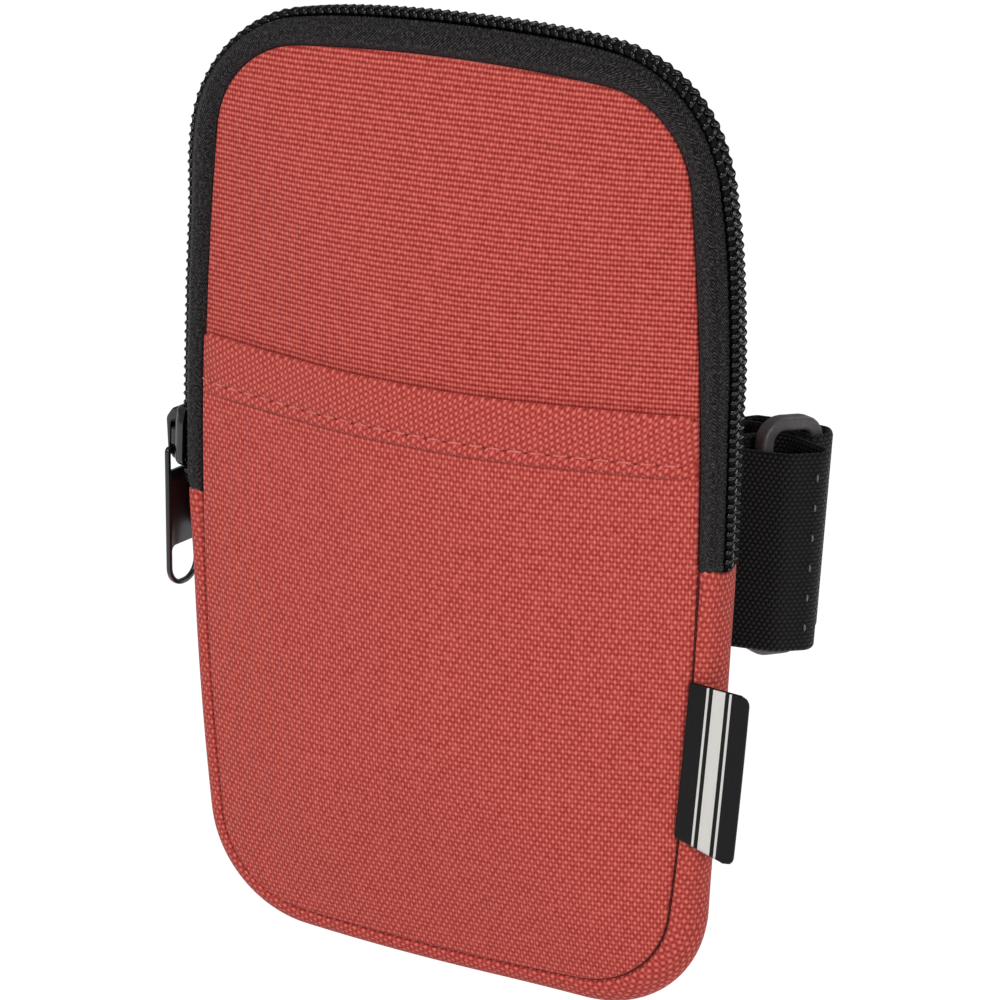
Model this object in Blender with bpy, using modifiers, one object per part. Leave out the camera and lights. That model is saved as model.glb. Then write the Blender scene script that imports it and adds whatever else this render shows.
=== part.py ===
"""Bottle pouch: a padded, zipped pouch on a webbing strap that closes round a bottle.

The front faces -Y and +Z is up. The origin is the centre of the strap's loop, where
the bottle's axis runs. Lengths are metres.
"""

import math
from collections import namedtuple

import bmesh
import bpy
from mathutils import Matrix, Vector

MM = 0.001
MERGE = 0.01 * MM
GAP = 0.3 * MM  # between pieces that touch

# Front seam, seen from the front: five arcs a side that run into each other
PANEL_WIDTH = 98.5 * MM
TOP_RISE = 81.5 * MM  # widest level up to the seam's top
BOTTOM_DROP = 82.8 * MM
SIDE_RADIUS = 617 * MM
TOP_RADIUS = 330 * MM
BOTTOM_RADIUS = 480 * MM
TOP_CORNER = 18 * MM
BOTTOM_CORNER = 18 * MM
SIDE_STEP = 27 * MM
CORNER_TURN = math.radians(13)

# Pouch depth
GUSSET_DEPTH = 9.2 * MM
BACK_INSET = 0.6 * MM  # how far the back seam lies inside the front one
FRONT_BULGE = 8.5 * MM
BACK_BULGE = 5.5 * MM
SPINE = 32 * MM  # half the straight ridge of a padded panel
RING_SHARES = (0.0, 0.45, 0.75, 1.0)

# Layers
FABRIC = 0.5 * MM
TAPE = 0.5 * MM
LINING = 0.25 * MM
BINDING = 0.25 * MM
FOAM = 2.5 * MM
PADDING_EDGE_SHARE = 0.945
SEAM_ALLOWANCE = 3.6 * MM
SEAM_LEAN = math.tan(math.radians(19))  # the allowances lean into the pouch
BINDING_COVER = 2.6 * MM

# Slip pocket
POCKET_TOP = 26 * MM  # above the widest level
HEM = 8.5 * MM
POCKET_EASE = 24 * MM  # height over which the pocket lifts to clear its hem

# Lower gusset
GUSSET_BULGE = 4.4 * MM
GUSSET_STEPS = 6
ZIP_END_LEFT = -4.3 * MM  # level where the zip gives way to the gusset
ZIP_END_RIGHT = -1.3 * MM

# Zip, across: u is outward from the seam, depth is backward from it
CHAIN_OUT = 4.3 * MM
CHAIN_DEPTH = 4.2 * MM
CHAIN_TILT = math.radians(7)
COIL_HEIGHT = 1.7 * MM
COIL_WIDTH = 2.3 * MM
CHAIN_SLOT = 1.1 * MM  # between the two rows
COIL_PITCH = 1.64 * MM
TURNS_PER_RIB = 2
WAIST_SHARE = 0.62
COIL_INSET = 0.6 * MM
TOP_LIFT_SHARE = 0.2  # the gusset stands further out over the top
LIFT_FROM = 60 * MM
LIFT_TO = 78 * MM
TAPE_SHOULDER = 1.1 * MM  # flat tape beside the coil
TAPE_CROWN = 0.45 * MM  # how far the tape rolls past the seam plane

# Slider
SLIDER_LEVEL = 5 * MM
SLIDER_LENGTH = 11 * MM
SLIDER_WIDTH = 8.2 * MM
SLIDER_NOSE = 5.6 * MM
SLIDER_CORNER = 1.6 * MM
SLIDER_PLAY = 0.6 * MM
SLIDER_BIAS = 0.2 * MM
SLIDER_FACE = 0.8 * MM
SLIDER_BASE = 0.8 * MM
BASE_WIDTH = 6 * MM
POST = 0.5 * MM
POST_LENGTH = 4.4 * MM
TRAVEL_UP = 38 * MM
TRAVEL_DOWN = 2 * MM
CROWN_WIDTH = 4.6 * MM
CROWN_LENGTH = 9.8 * MM
CROWN_RISE = 2.6 * MM
CROWN_WALL = 0.85 * MM
CROWN_FOOT = 1 * MM
CROWN_BEND = 0.8 * MM

# Puller
PULL_LENGTH = 27.2 * MM
PULL_WIDTH = 8.6 * MM
PULL_THICKNESS = 0.9 * MM
PULL_WEB = 0.9 * MM
PULL_EYE = 3.7 * MM
PULL_HOLE = 7.2 * MM
PULL_TOP_CORNER = 1 * MM
PULL_EYE_CORNER = 0.6 * MM

# Strap
WEBBING_WIDTH = 35 * MM
WEBBING = 1.3 * MM
LOOP_RADIUS = 10.4 * MM  # half the flattened loop's depth
LOOP_LEFT = -38 * MM
BAND_START = 6 * MM
STRAP_DROP = 2.8 * MM  # strap's middle below the pouch's widest level
BEND_TURN = math.radians(18)
SEWN_BACK = 18.9 * MM  # from the ring's bar to the end of the flat, sewn stretch
EYE_REACH = 9.7 * MM  # the short end's eye stands out beyond the ring
EYE_BEND = 2 * MM
EYE_EASE = 5 * MM
RING_PLAY = 0.8 * MM
BAND_SLACK = 2.6 * MM  # the band stands off behind the ring
TAIL_END = 20 * MM
TAIL_SPACE = 2 * MM  # between the band and its folded tail
FASTENER = 0.5 * MM
FASTENER_MARGIN = 2.5 * MM  # bare webbing above and below the fasteners
FASTENER_BACK = 8.9 * MM  # from the ring's bar to the fasteners' ends
HOOK_LENGTH = 20 * MM
LOOP_TAPE_START = -28 * MM

# Ring
RING_ROOM = 1.5 * MM  # between a bar's inner edge and the webbing's edge
RING_WIDTH = 13.1 * MM
RING_BAR = 2.5 * MM
RING_THICKNESS = 3 * MM
RING_CORNER = 4.6 * MM
RING_HOLE_CORNER = 2 * MM
RING_EDGE = 0.7 * MM
RING_X = 48.7 * MM
RING_DEPTH = 25.2 * MM  # behind the front seam
RING_TURN = math.radians(60)
RING_LEAN = math.radians(6.5)

# Side label
LABEL_TOP = -20.9 * MM
LABEL_HEIGHT = 29 * MM
LABEL_REACH = 11 * MM
LABEL_LAYER = 0.3 * MM
LABEL_DROOP = math.radians(4)

# Planes and levels that follow from the sizes above
STRAP_FRONT_Y = -LOOP_RADIUS
BACK_FACE_Y = STRAP_FRONT_Y - WEBBING / 2 - GAP
BACK_SEAM_Y = BACK_FACE_Y - BACK_BULGE
FRONT_SEAM_Y = BACK_SEAM_Y - GUSSET_DEPTH
WIDEST_Z = STRAP_DROP
SEWN_END = RING_X - SEWN_BACK
FASTENER_END = RING_X - FASTENER_BACK
FASTENER_WIDTH = WEBBING_WIDTH - 2 * FASTENER_MARGIN
RING_HEIGHT = WEBBING_WIDTH + 2 * (RING_ROOM + RING_BAR)

Arc = namedtuple("Arc", "x z radius start end")
FRONT, BACK = -1, 1


def new_collection(name):
    collection = bpy.data.collections.new(name)
    bpy.context.scene.collection.children.link(collection)
    return collection


def material(name, colour, roughness, metallic=0.0):
    made = bpy.data.materials.new(name)
    made.use_nodes = True
    shader = made.node_tree.nodes["Principled BSDF"]
    shader.inputs["Base Color"].default_value = (*colour, 1.0)
    shader.inputs["Roughness"].default_value = roughness
    shader.inputs["Metallic"].default_value = metallic
    made.diffuse_color = (*colour, 1.0)
    return made


def red_fabric(name):
    return material(name, (0.52, 0.075, 0.06), 0.85)


def black_textile(name):
    return material(name, (0.012, 0.012, 0.014), 0.8)


def black_plastic(name):
    return material(name, (0.02, 0.02, 0.022), 0.4)


def black_enamel(name):
    return material(name, (0.015, 0.015, 0.017), 0.35, 0.6)


def grey_lining(name):
    return material(name, (0.1, 0.1, 0.105), 0.8)


def white_foam(name):
    return material(name, (0.75, 0.75, 0.72), 0.9)


def add_object(name, mesh, paint, parent=None):
    made = bpy.data.objects.new(name, mesh)
    made.data.materials.append(paint)
    PARTS.objects.link(made)
    made.parent = parent
    return made


def add_empty(name, matrix, parent=None):
    empty = bpy.data.objects.new(name, None)
    empty.empty_display_size = SLIDER_LENGTH
    PARTS.objects.link(empty)
    empty.parent = parent
    empty.matrix_world = matrix
    bpy.context.view_layer.update()
    return empty


def thicken(piece, thickness):
    shell = piece.modifiers.new("Thickness", "SOLIDIFY")
    shell.thickness = thickness
    shell.offset = 0.0
    shell.use_even_offset = True
    return shell


def shade(mesh):
    mesh.shade_smooth()
    mesh.set_sharp_from_angle(angle=math.radians(40))


def lofted_mesh(name, rows, closed=False, capped=False):
    """Quads between neighbouring rows of points; closed joins each row to itself."""
    bm = bmesh.new()
    verts = [[bm.verts.new(point) for point in row] for row in rows]
    for low, high in zip(verts, verts[1:]):
        pairs = list(zip(low, high))
        if closed:
            pairs.append(pairs[0])
        for (a, b), (c, d) in zip(pairs, pairs[1:]):
            bm.faces.new((a, c, d, b))
    if capped:
        bm.faces.new(verts[0])
        bm.faces.new(verts[-1])
    bmesh.ops.remove_doubles(bm, verts=bm.verts, dist=MERGE)
    bmesh.ops.recalc_face_normals(bm, faces=bm.faces)
    mesh = bpy.data.meshes.new(name)
    bm.to_mesh(mesh)
    bm.free()
    shade(mesh)
    return mesh


def fillet_centre(first, first_radius, second, second_radius, radius):
    """Centre of the right-hand fillet inside two circles."""
    reach_a = first_radius - radius
    reach_b = second_radius - radius
    across = second - first
    span = across.length
    along = (reach_a**2 - reach_b**2 + span**2) / (2 * span)
    side = math.sqrt(reach_a**2 - along**2)
    base = first + across * (along / span)
    normal = Vector((-across.y, across.x)) / span
    return max(base + normal * side, base - normal * side, key=lambda point: point.x)


def bearing(origin, point):
    return math.atan2(point.y - origin.y, point.x - origin.x)


def seam_arcs():
    """Arcs of the seam, anticlockwise from the bottom's middle."""
    bottom = Vector((0, BOTTOM_RADIUS - BOTTOM_DROP))
    side = Vector((PANEL_WIDTH / 2 - SIDE_RADIUS, 0))
    top = Vector((0, TOP_RISE - TOP_RADIUS))
    low = fillet_centre(bottom, BOTTOM_RADIUS, side, SIDE_RADIUS, BOTTOM_CORNER)
    high = fillet_centre(top, TOP_RADIUS, side, SIDE_RADIUS, TOP_CORNER)
    turns = (
        -math.pi / 2,
        bearing(bottom, low),
        bearing(side, low),
        bearing(side, high),
        bearing(top, high),
        math.pi / 2,
    )
    centres = (bottom, low, side, high, top)
    radii = (BOTTOM_RADIUS, BOTTOM_CORNER, SIDE_RADIUS, TOP_CORNER, TOP_RADIUS)
    right = [Arc(c.x, c.y, r, a, b) for c, r, a, b in zip(centres, radii, turns, turns[1:])]
    left = [Arc(-arc.x, arc.z, arc.radius, math.pi - arc.end, math.pi - arc.start)
            for arc in reversed(right)]
    return right + left


def arc_length(arc):
    return arc.radius * (arc.end - arc.start)


SEAM = seam_arcs()
SEAM_LENGTH = sum(arc_length(arc) for arc in SEAM)


def seam_point(distance, out):
    """Point at a distance along the seam and offset outward, as (x, level)."""
    rest = distance % SEAM_LENGTH
    for arc in SEAM:
        if rest <= arc_length(arc):
            break
        rest -= arc_length(arc)
    angle = arc.start + rest / arc.radius
    reach = arc.radius + out
    return arc.x + reach * math.cos(angle), arc.z + reach * math.sin(angle)


def seam_distance(level, right):
    """Distance along the seam to a level on the right or the left side."""
    before = sum(arc_length(arc) for arc in SEAM[:2])
    along = SIDE_RADIUS * (math.asin(level / SIDE_RADIUS) - SEAM[2].start)
    return before + along if right else SEAM_LENGTH - before - along


def stations(start, end):
    """Distances from start to end, closer together round the corners."""
    marks = [start]
    reach = 0.0
    for arc in SEAM + SEAM:
        by_length = math.ceil(arc_length(arc) / SIDE_STEP)
        by_turn = math.ceil((arc.end - arc.start) / CORNER_TURN)
        steps = max(by_length, by_turn)
        for step in range(steps):
            mark = reach + arc_length(arc) * step / steps
            if start + COIL_PITCH < mark < end - COIL_PITCH:
                marks.append(mark)
        reach += arc_length(arc)
    return marks + [end]


def smooth_share(value, low, high):
    share = min(max((value - low) / (high - low), 0.0), 1.0)
    return share * share * (3 - 2 * share)


def gusset_point(distance, out, depth):
    """World point outward from the front seam and backward from its plane."""
    level = seam_point(distance, 0.0)[1]
    lift = 1 + TOP_LIFT_SHARE * smooth_share(level, LIFT_FROM, LIFT_TO)
    x, level = seam_point(distance, out * lift if out > 0 else out)
    return Vector((x, FRONT_SEAM_Y + depth, WIDEST_Z + level))


def sweep(name, profile, marks, thickness, paint, closed=False):
    """A strip of cloth whose profile of (out, depth) runs along the seam."""
    rows = [[gusset_point(mark, *point) for mark in marks] for point in profile]
    piece = add_object(name, lofted_mesh(name, rows, closed), paint)
    thicken(piece, thickness)
    return piece


RING_MARKS = stations(0.0, SEAM_LENGTH)[:-1]


def panel_inset(side):
    return 0.0 if side == FRONT else BACK_INSET


def padded_point(mark, share, side, depth, inset):
    """Point of a bulging panel: share is 0 on its ridge and 1 at its edge."""
    x, level = seam_point(mark, -inset)
    ridge = min(max(level, -SPINE), SPINE)
    bulge = FRONT_BULGE if side == FRONT else BACK_BULGE
    seam_y = FRONT_SEAM_Y if side == FRONT else BACK_SEAM_Y
    y = seam_y + side * (bulge * math.cos(math.pi / 2 * share) - depth)
    return Vector((x * share, y, WIDEST_Z + ridge + (level - ridge) * share))


def padded_rows(side, depth, edge_share, inset):
    shares = [share for share in RING_SHARES if share < edge_share] + [edge_share]
    return [[padded_point(mark, share, side, depth, inset) for mark in RING_MARKS]
            for share in shares]


def allowance_point(mark, side, out, depth):
    """Point of a seam allowance: depth runs from its seam into the pouch."""
    offset = out - SEAM_LEAN * depth - panel_inset(side)
    x, level = seam_point(mark, offset)
    seam_y = FRONT_SEAM_Y if side == FRONT else BACK_SEAM_Y
    return Vector((x, seam_y - side * depth, WIDEST_Z + level))


def panel(name, side, paint):
    """An outer panel with its seam allowance turned in."""
    edge = (FABRIC + GAP) / 2
    rows = padded_rows(side, FABRIC / 2, 1.0, edge + panel_inset(side))
    rows.append([allowance_point(mark, side, -edge, SEAM_ALLOWANCE) for mark in RING_MARKS])
    piece = add_object(name, lofted_mesh(name, rows, closed=True), paint)
    thicken(piece, FABRIC)


def padding(name, side, depth, thickness, paint):
    """A layer inside a panel, from its outer face at depth."""
    edge = (FABRIC + GAP) / 2 + panel_inset(side)
    rows = padded_rows(side, depth + thickness / 2, PADDING_EDGE_SHARE, edge)
    piece = add_object(name, lofted_mesh(name, rows, closed=True), paint)
    thicken(piece, thickness)


def front_pocket():
    """The slip pocket: it follows the panel, and its top edge is folded in as a hem."""
    edge = (FABRIC + GAP) / 2
    rows = padded_rows(FRONT, -GAP - FABRIC / 2, 1.0, edge)
    mesh = lofted_mesh("front_pocket", rows, closed=True)
    bm = bmesh.new()
    bm.from_mesh(mesh)
    top = WIDEST_Z + POCKET_TOP
    hem = top - HEM
    ease = hem - POCKET_EASE
    for level in (ease, hem):
        bmesh.ops.bisect_plane(bm, geom=bm.verts[:] + bm.edges[:] + bm.faces[:], dist=MERGE,
                               plane_co=(0, 0, level), plane_no=(0, 0, 1))
    cut = bmesh.ops.bisect_plane(bm, geom=bm.verts[:] + bm.edges[:] + bm.faces[:], dist=MERGE,
                                 plane_co=(0, 0, top), plane_no=(0, 0, 1), clear_outer=True)
    fold = FABRIC + GAP
    for vert in bm.verts:
        vert.co.y -= fold * min(max((vert.co.z - ease) / (hem - ease), 0.0), 1.0)
    edges = [item for item in cut["geom_cut"] if isinstance(item, bmesh.types.BMEdge)]
    for shift in (Vector((0, fold / 2, fold / 2)), Vector((0, fold / 2, -fold / 2)),
                  Vector((0, 0, -HEM))):
        grown = bmesh.ops.extrude_edge_only(bm, edges=edges)["geom"]
        moved = [item for item in grown if isinstance(item, bmesh.types.BMVert)]
        bmesh.ops.translate(bm, verts=moved, vec=shift)
        edges = [item for item in grown if isinstance(item, bmesh.types.BMEdge)]
    bmesh.ops.recalc_face_normals(bm, faces=bm.faces)
    bm.to_mesh(mesh)
    bm.free()
    thicken(add_object("front_pocket", mesh, red_fabric("pocket_cloth")), FABRIC)


def chain_point(across, out):
    """Profile point (out, depth) in the chain's own tilted frame."""
    cos, sin = math.cos(CHAIN_TILT), math.sin(CHAIN_TILT)
    return CHAIN_OUT + out * cos - across * sin, CHAIN_DEPTH + across * cos + out * sin


def allowance_profile(side):
    """Profile points of a strip's allowance: its free edge, then its foot at the seam."""
    half = (TAPE + GAP) / 2
    foot = 2 * half
    points = []
    for depth in (SEAM_ALLOWANCE, foot):
        out = half - SEAM_LEAN * depth - panel_inset(side)
        points.append((out, depth if side == FRONT else GUSSET_DEPTH - depth))
    return points


def tape_profile(side):
    """From the seam allowance, rolled over the seam, to the edge under the coil."""
    under = -(COIL_HEIGHT / 2 + GAP + TAPE / 2)
    inner = CHAIN_SLOT / 2
    outer = inner + COIL_WIDTH
    shoulder = outer + TAPE_SHOULDER
    flat = [chain_point(side * across, under) for across in (shoulder, outer, inner)]
    seam_out = -panel_inset(side)
    plane = 0.0 if side == FRONT else GUSSET_DEPTH
    rise = flat[0][0] - seam_out
    roll = [(seam_out + rise / 3, plane + side * TAPE_CROWN / 2),
            (seam_out + rise * 2 / 3, plane + side * TAPE_CROWN)]
    return allowance_profile(side) + roll + flat


def zip_marks():
    return stations(seam_distance(ZIP_END_RIGHT, True), seam_distance(ZIP_END_LEFT, False))


def zipper_tape(name, side, paint):
    sweep(name, tape_profile(side), zip_marks(), TAPE, paint)


def zipper_coil(name, side, paint):
    """One row of the chain: a rib for every few turns of the coil, with waists between."""
    start = seam_distance(ZIP_END_RIGHT, True) + COIL_INSET
    end = seam_distance(ZIP_END_LEFT, False) - COIL_INSET
    ribs = round((end - start) / (COIL_PITCH * TURNS_PER_RIB))
    middle = side * (CHAIN_SLOT + COIL_WIDTH) / 2
    rings = []
    for step in range(2 * ribs + 1):
        swell = WAIST_SHARE if step % 2 == 0 else 1.0
        half_width = swell * COIL_WIDTH / 2
        half_height = swell * COIL_HEIGHT / 2
        corners = ((-1, -1), (1, -1), (1, 1), (-1, 1))
        profile = [chain_point(middle + a * half_width, b * half_height) for a, b in corners]
        mark = start + (end - start) * step / (2 * ribs)
        rings.append([gusset_point(mark, *point) for point in profile])
    mesh = lofted_mesh(name, rings, closed=True, capped=True)
    add_object(name, mesh, paint)


def gusset_bulge(inset):
    """Profile points of the lower gusset between its two seams, inset toward the pouch."""
    points = []
    for step in range(1, GUSSET_STEPS):
        share = step / GUSSET_STEPS
        angle = math.pi * share
        depth = GUSSET_DEPTH / 2 - (GUSSET_DEPTH / 2 - inset) * math.cos(angle)
        out = (GUSSET_BULGE - inset) * math.sin(angle) - panel_inset(BACK) * share
        points.append((out, depth))
    return points


def gusset_marks():
    start = seam_distance(ZIP_END_LEFT, False) + GAP
    end = seam_distance(ZIP_END_RIGHT, True) - GAP + SEAM_LENGTH
    return stations(start, end)


def lower_gusset():
    profile = allowance_profile(FRONT) + gusset_bulge(0.0) + allowance_profile(BACK)[::-1]
    sweep("lower_gusset", profile, gusset_marks(), FABRIC, red_fabric("gusset_cloth"))


def gusset_lining():
    inset = (FABRIC + LINING) / 2 + GAP
    sweep("gusset_lining", gusset_bulge(inset), gusset_marks(), LINING,
          grey_lining("gusset_lining_cloth"))


def binding(name, side, paint):
    """Tape folded over a seam's allowances."""
    half = FABRIC + GAP / 2 + GAP + BINDING / 2
    close = SEAM_ALLOWANCE + GAP + BINDING / 2
    profile = ((-half, close - BINDING_COVER), (-half, close), (half, close),
               (half, close - BINDING_COVER))
    rows = [[allowance_point(mark, side, out, depth) for mark in RING_MARKS]
            for out, depth in profile]
    piece = add_object(name, lofted_mesh(name, rows, closed=True), paint)
    thicken(piece, BINDING)


def rounded_loop(corners, turn=BEND_TURN, closed=True):
    """Points of a path through (x, y, radius) corners, each rounded by an arc."""
    points = []
    count = len(corners)
    for index, (x, y, radius) in enumerate(corners):
        here = Vector((x, y))
        if not closed and index in (0, count - 1) or radius == 0:
            points.append(here)
            continue
        before = (Vector(corners[index - 1][:2]) - here).normalized()
        after = (Vector(corners[(index + 1) % count][:2]) - here).normalized()
        half = before.angle(after) / 2
        centre = here + (before + after).normalized() * (radius / math.sin(half))
        first = here + before * (radius / math.tan(half)) - centre
        last = here + after * (radius / math.tan(half)) - centre
        swing = first.angle_signed(last)
        steps = max(1, math.ceil(abs(swing) / turn))
        for step in range(steps + 1):
            spoke = first.copy()
            spoke.rotate(Matrix.Rotation(-swing * step / steps, 2))
            points.append(centre + spoke)
    return points


def flat_mesh(name, loops, thickness, plane):
    """A filled outline with holes, thickened evenly; plane turns (x, y, 0) into place."""
    curve = bpy.data.curves.new(name, "CURVE")
    curve.dimensions = "2D"
    curve.fill_mode = "BOTH"
    curve.extrude = thickness / 2
    for loop in loops:
        spline = curve.splines.new("POLY")
        spline.points.add(len(loop) - 1)
        for point, place in zip(spline.points, loop):
            point.co = (place.x, place.y, 0, 1)
        spline.use_cyclic_u = True
    holder = bpy.data.objects.new(name, curve)
    CUTTERS.objects.link(holder)
    graph = bpy.context.evaluated_depsgraph_get()
    mesh = bpy.data.meshes.new_from_object(holder.evaluated_get(graph))
    bpy.data.objects.remove(holder)
    bm = bmesh.new()
    bm.from_mesh(mesh)
    bmesh.ops.remove_doubles(bm, verts=bm.verts, dist=MERGE)
    bmesh.ops.recalc_face_normals(bm, faces=bm.faces)
    bm.to_mesh(mesh)
    bm.free()
    mesh.transform(plane)
    mesh.materials.clear()
    return mesh


def box_mesh(name, low, high):
    mesh = bpy.data.meshes.new(name)
    bm = bmesh.new()
    size = Vector(high) - Vector(low)
    place = Matrix.Translation((Vector(high) + Vector(low)) / 2) @ Matrix.Diagonal((*size, 1))
    bmesh.ops.create_cube(bm, size=1.0, matrix=place)
    bm.to_mesh(mesh)
    bm.free()
    return mesh


def helper(name, mesh, parent):
    """A cutter or a piece to be joined, kept out of the model."""
    made = bpy.data.objects.new(name, mesh)
    made.hide_render = True
    made.display_type = "WIRE"
    CUTTERS.objects.link(made)
    made.parent = parent
    return made


def combine(piece, other, operation):
    step = piece.modifiers.new(other.name, "BOOLEAN")
    step.operation = operation
    step.object = other


def slider_matrix():
    """The slider's seat on the left: X outward, Y to the front, Z up the chain's chord."""
    base = CHAIN_OUT + SLIDER_BIAS
    mark = seam_distance(SLIDER_LEVEL, False)
    seat = gusset_point(mark, base, CHAIN_DEPTH)
    middle = SLIDER_LEVEL + (TRAVEL_UP - TRAVEL_DOWN) / 2
    chord = math.asin(middle / (SIDE_RADIUS + base))
    turn = Matrix.Rotation(math.pi - CHAIN_TILT, 4, "Z")
    return Matrix.Translation(seat) @ Matrix.Rotation(chord, 4, "Y") @ turn


def slider_outline():
    """Seen from outside: wide shoulders where the rows part, a narrow upper end."""
    half = SLIDER_LENGTH / 2
    wide = SLIDER_WIDTH / 2
    nose = SLIDER_NOSE / 2
    waist = half - SLIDER_LENGTH / 4
    return rounded_loop([
        (wide, -half, SLIDER_CORNER),
        (wide, waist, SLIDER_CORNER),
        (nose + (wide - nose) / 2, half, SLIDER_CORNER / 2),
        (-nose - (wide - nose) / 2, half, SLIDER_CORNER / 2),
        (-wide, waist, SLIDER_CORNER),
        (-wide, -half, SLIDER_CORNER),
    ])


def crown_outline():
    """Side view of the bridge that holds the puller, tallest near its upper end."""
    face = COIL_HEIGHT / 2 + SLIDER_PLAY + SLIDER_FACE
    root = face - SLIDER_FACE / 2
    top = CROWN_LENGTH / 2
    high = face + CROWN_RISE
    low = high - GAP
    return rounded_loop([
        (root, top, 0),
        (high, top, CROWN_BEND),
        (low, -top, CROWN_BEND),
        (root, -top, 0),
        (root, -top + CROWN_FOOT, 0),
        (low - CROWN_WALL, -top + CROWN_FOOT, CROWN_BEND / 3),
        (high - CROWN_WALL, top - CROWN_FOOT, CROWN_BEND / 3),
        (root, top - CROWN_FOOT, 0),
    ])


def slider_body(seat, paint):
    """Two plates joined by the post, with flanges that hold the rows, and the crown."""
    inner = COIL_HEIGHT / 2 + SLIDER_PLAY
    face = inner + SLIDER_FACE
    tape_in = COIL_HEIGHT / 2 + GAP + TAPE + SLIDER_PLAY
    base = tape_in + SLIDER_BASE
    tape_out = COIL_HEIGHT / 2 + GAP - SLIDER_PLAY
    row = CHAIN_SLOT / 2 + COIL_WIDTH + GAP
    half = SLIDER_LENGTH
    upright = Matrix(((0, 0, 1, 0), (1, 0, 0, 0), (0, 1, 0, 0), (0, 0, 0, 1)))
    plane = Matrix.Translation(((face - base) / 2, 0, 0)) @ upright
    block = flat_mesh("slider_body", [slider_outline()], face + base, plane)
    piece = add_object("slider_body", block, paint, seat)
    wide = SLIDER_WIDTH
    cuts = [
        ("rear_channel", (-tape_in, -row, -half), (inner, -POST / 2, half)),
        ("front_channel", (-tape_in, POST / 2, -half), (inner, row, half)),
        ("closed_channel", (-tape_in, -row, POST_LENGTH - SLIDER_LENGTH / 2), (inner, row, half)),
        ("rear_slot", (-tape_in, -wide, -half), (-tape_out, -row / 2, half)),
        ("front_slot", (-tape_in, row / 2, -half), (-tape_out, wide, half)),
        ("rear_base_side", (-wide, -wide, -half), (-tape_in + GAP, -BASE_WIDTH / 2, half)),
        ("front_base_side", (-wide, BASE_WIDTH / 2, -half), (-tape_in + GAP, wide, half)),
    ]
    for name, low, high in cuts:
        combine(piece, helper(name, box_mesh(name, low, high), seat), "DIFFERENCE")
    arch = Matrix(((1, 0, 0, 0), (0, 0, -1, 0), (0, 1, 0, 0), (0, 0, 0, 1)))
    crown = flat_mesh("crown", [crown_outline()], CROWN_WIDTH, arch)
    combine(piece, helper("crown", crown, seat), "UNION")
    return piece


def pull_place():
    """Where the puller's bar lies in the slider's frame."""
    face = COIL_HEIGHT / 2 + SLIDER_PLAY + SLIDER_FACE
    foot = -CROWN_LENGTH / 2 + CROWN_FOOT
    return Vector((face + GAP + PULL_THICKNESS / 2, 0, foot + 2 * GAP + PULL_WEB / 2))


def pull_tab(seat, paint):
    """A flat tab with an eye round the crown's foot and a large hole in its round end."""
    bar = seat.matrix_world @ pull_place()
    plumb = Matrix.Rotation(math.pi - CHAIN_TILT, 4, "Z")
    pivot = add_empty("pull_axis", Matrix.Translation(bar) @ plumb, seat)
    wide = PULL_WIDTH / 2
    top = PULL_WEB / 2
    end = top - PULL_LENGTH
    hole = wide - PULL_WEB
    outline = rounded_loop([
        (wide, top, PULL_TOP_CORNER),
        (-wide, top, PULL_TOP_CORNER),
        (-wide, end, wide - GAP),
        (wide, end, wide - GAP),
    ])
    eye = rounded_loop([
        (hole, -top, PULL_EYE_CORNER),
        (-hole, -top, PULL_EYE_CORNER),
        (-hole, -top - PULL_EYE, PULL_EYE_CORNER),
        (hole, -top - PULL_EYE, PULL_EYE_CORNER),
    ])
    low = end + PULL_WEB
    finger = rounded_loop([
        (hole, low + PULL_HOLE, PULL_TOP_CORNER),
        (-hole, low + PULL_HOLE, PULL_TOP_CORNER),
        (-hole, low, hole - GAP),
        (hole, low, hole - GAP),
    ])
    upright = Matrix(((0, 0, 1, 0), (1, 0, 0, 0), (0, 1, 0, 0), (0, 0, 0, 1)))
    mesh = flat_mesh("pull_tab", [outline, eye, finger], PULL_THICKNESS, upright)
    return add_object("pull_tab", mesh, paint, pivot)


def ring_matrix():
    """The ring's front bar: X across the ring, Z along the bar, which leans back."""
    place = Vector((RING_X, FRONT_SEAM_Y + RING_DEPTH, 0))
    lean = Matrix.Rotation(-RING_LEAN, 4, "X")
    return Matrix.Translation(place) @ lean @ Matrix.Rotation(RING_TURN, 4, "Z")


def strap_ring(paint):
    axis = add_empty("ring_axis", ring_matrix())
    half = RING_HEIGHT / 2
    near = -RING_BAR / 2
    far = near + RING_WIDTH

    def frame(inset, corner):
        return rounded_loop([
            (near + inset, -half + inset, corner),
            (far - inset, -half + inset, corner),
            (far - inset, half - inset, corner),
            (near + inset, half - inset, corner),
        ])

    upright = Matrix(((1, 0, 0, 0), (0, 0, -1, 0), (0, 1, 0, 0), (0, 0, 0, 1)))
    loops = [frame(0.0, RING_CORNER), frame(RING_BAR, RING_HOLE_CORNER)]
    mesh = flat_mesh("strap_ring", loops, RING_THICKNESS, upright)
    shade(mesh)
    piece = add_object("strap_ring", mesh, paint, axis)
    edge = piece.modifiers.new("Rounded edges", "BEVEL")
    edge.width = RING_EDGE
    edge.segments = 1
    edge.limit_method = "ANGLE"
    return piece


def ribbon(name, path, thickness, width, paint, lean_from=None):
    """Webbing on edge along a plan path; past lean_from it leans with the ring."""
    lean = math.tan(RING_LEAN)
    rows = []
    for height in (-width / 2, 0.0, width / 2):
        row = []
        for point in path:
            share = 0.0
            if lean_from is not None:
                share = smooth_share(point.x, lean_from, RING_X - RING_WIDTH / 2)
            row.append(Vector((point.x, point.y + height * lean * share, height)))
        rows.append(row)
    piece = add_object(name, lofted_mesh(name, rows), paint)
    thicken(piece, thickness)
    return piece


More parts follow.
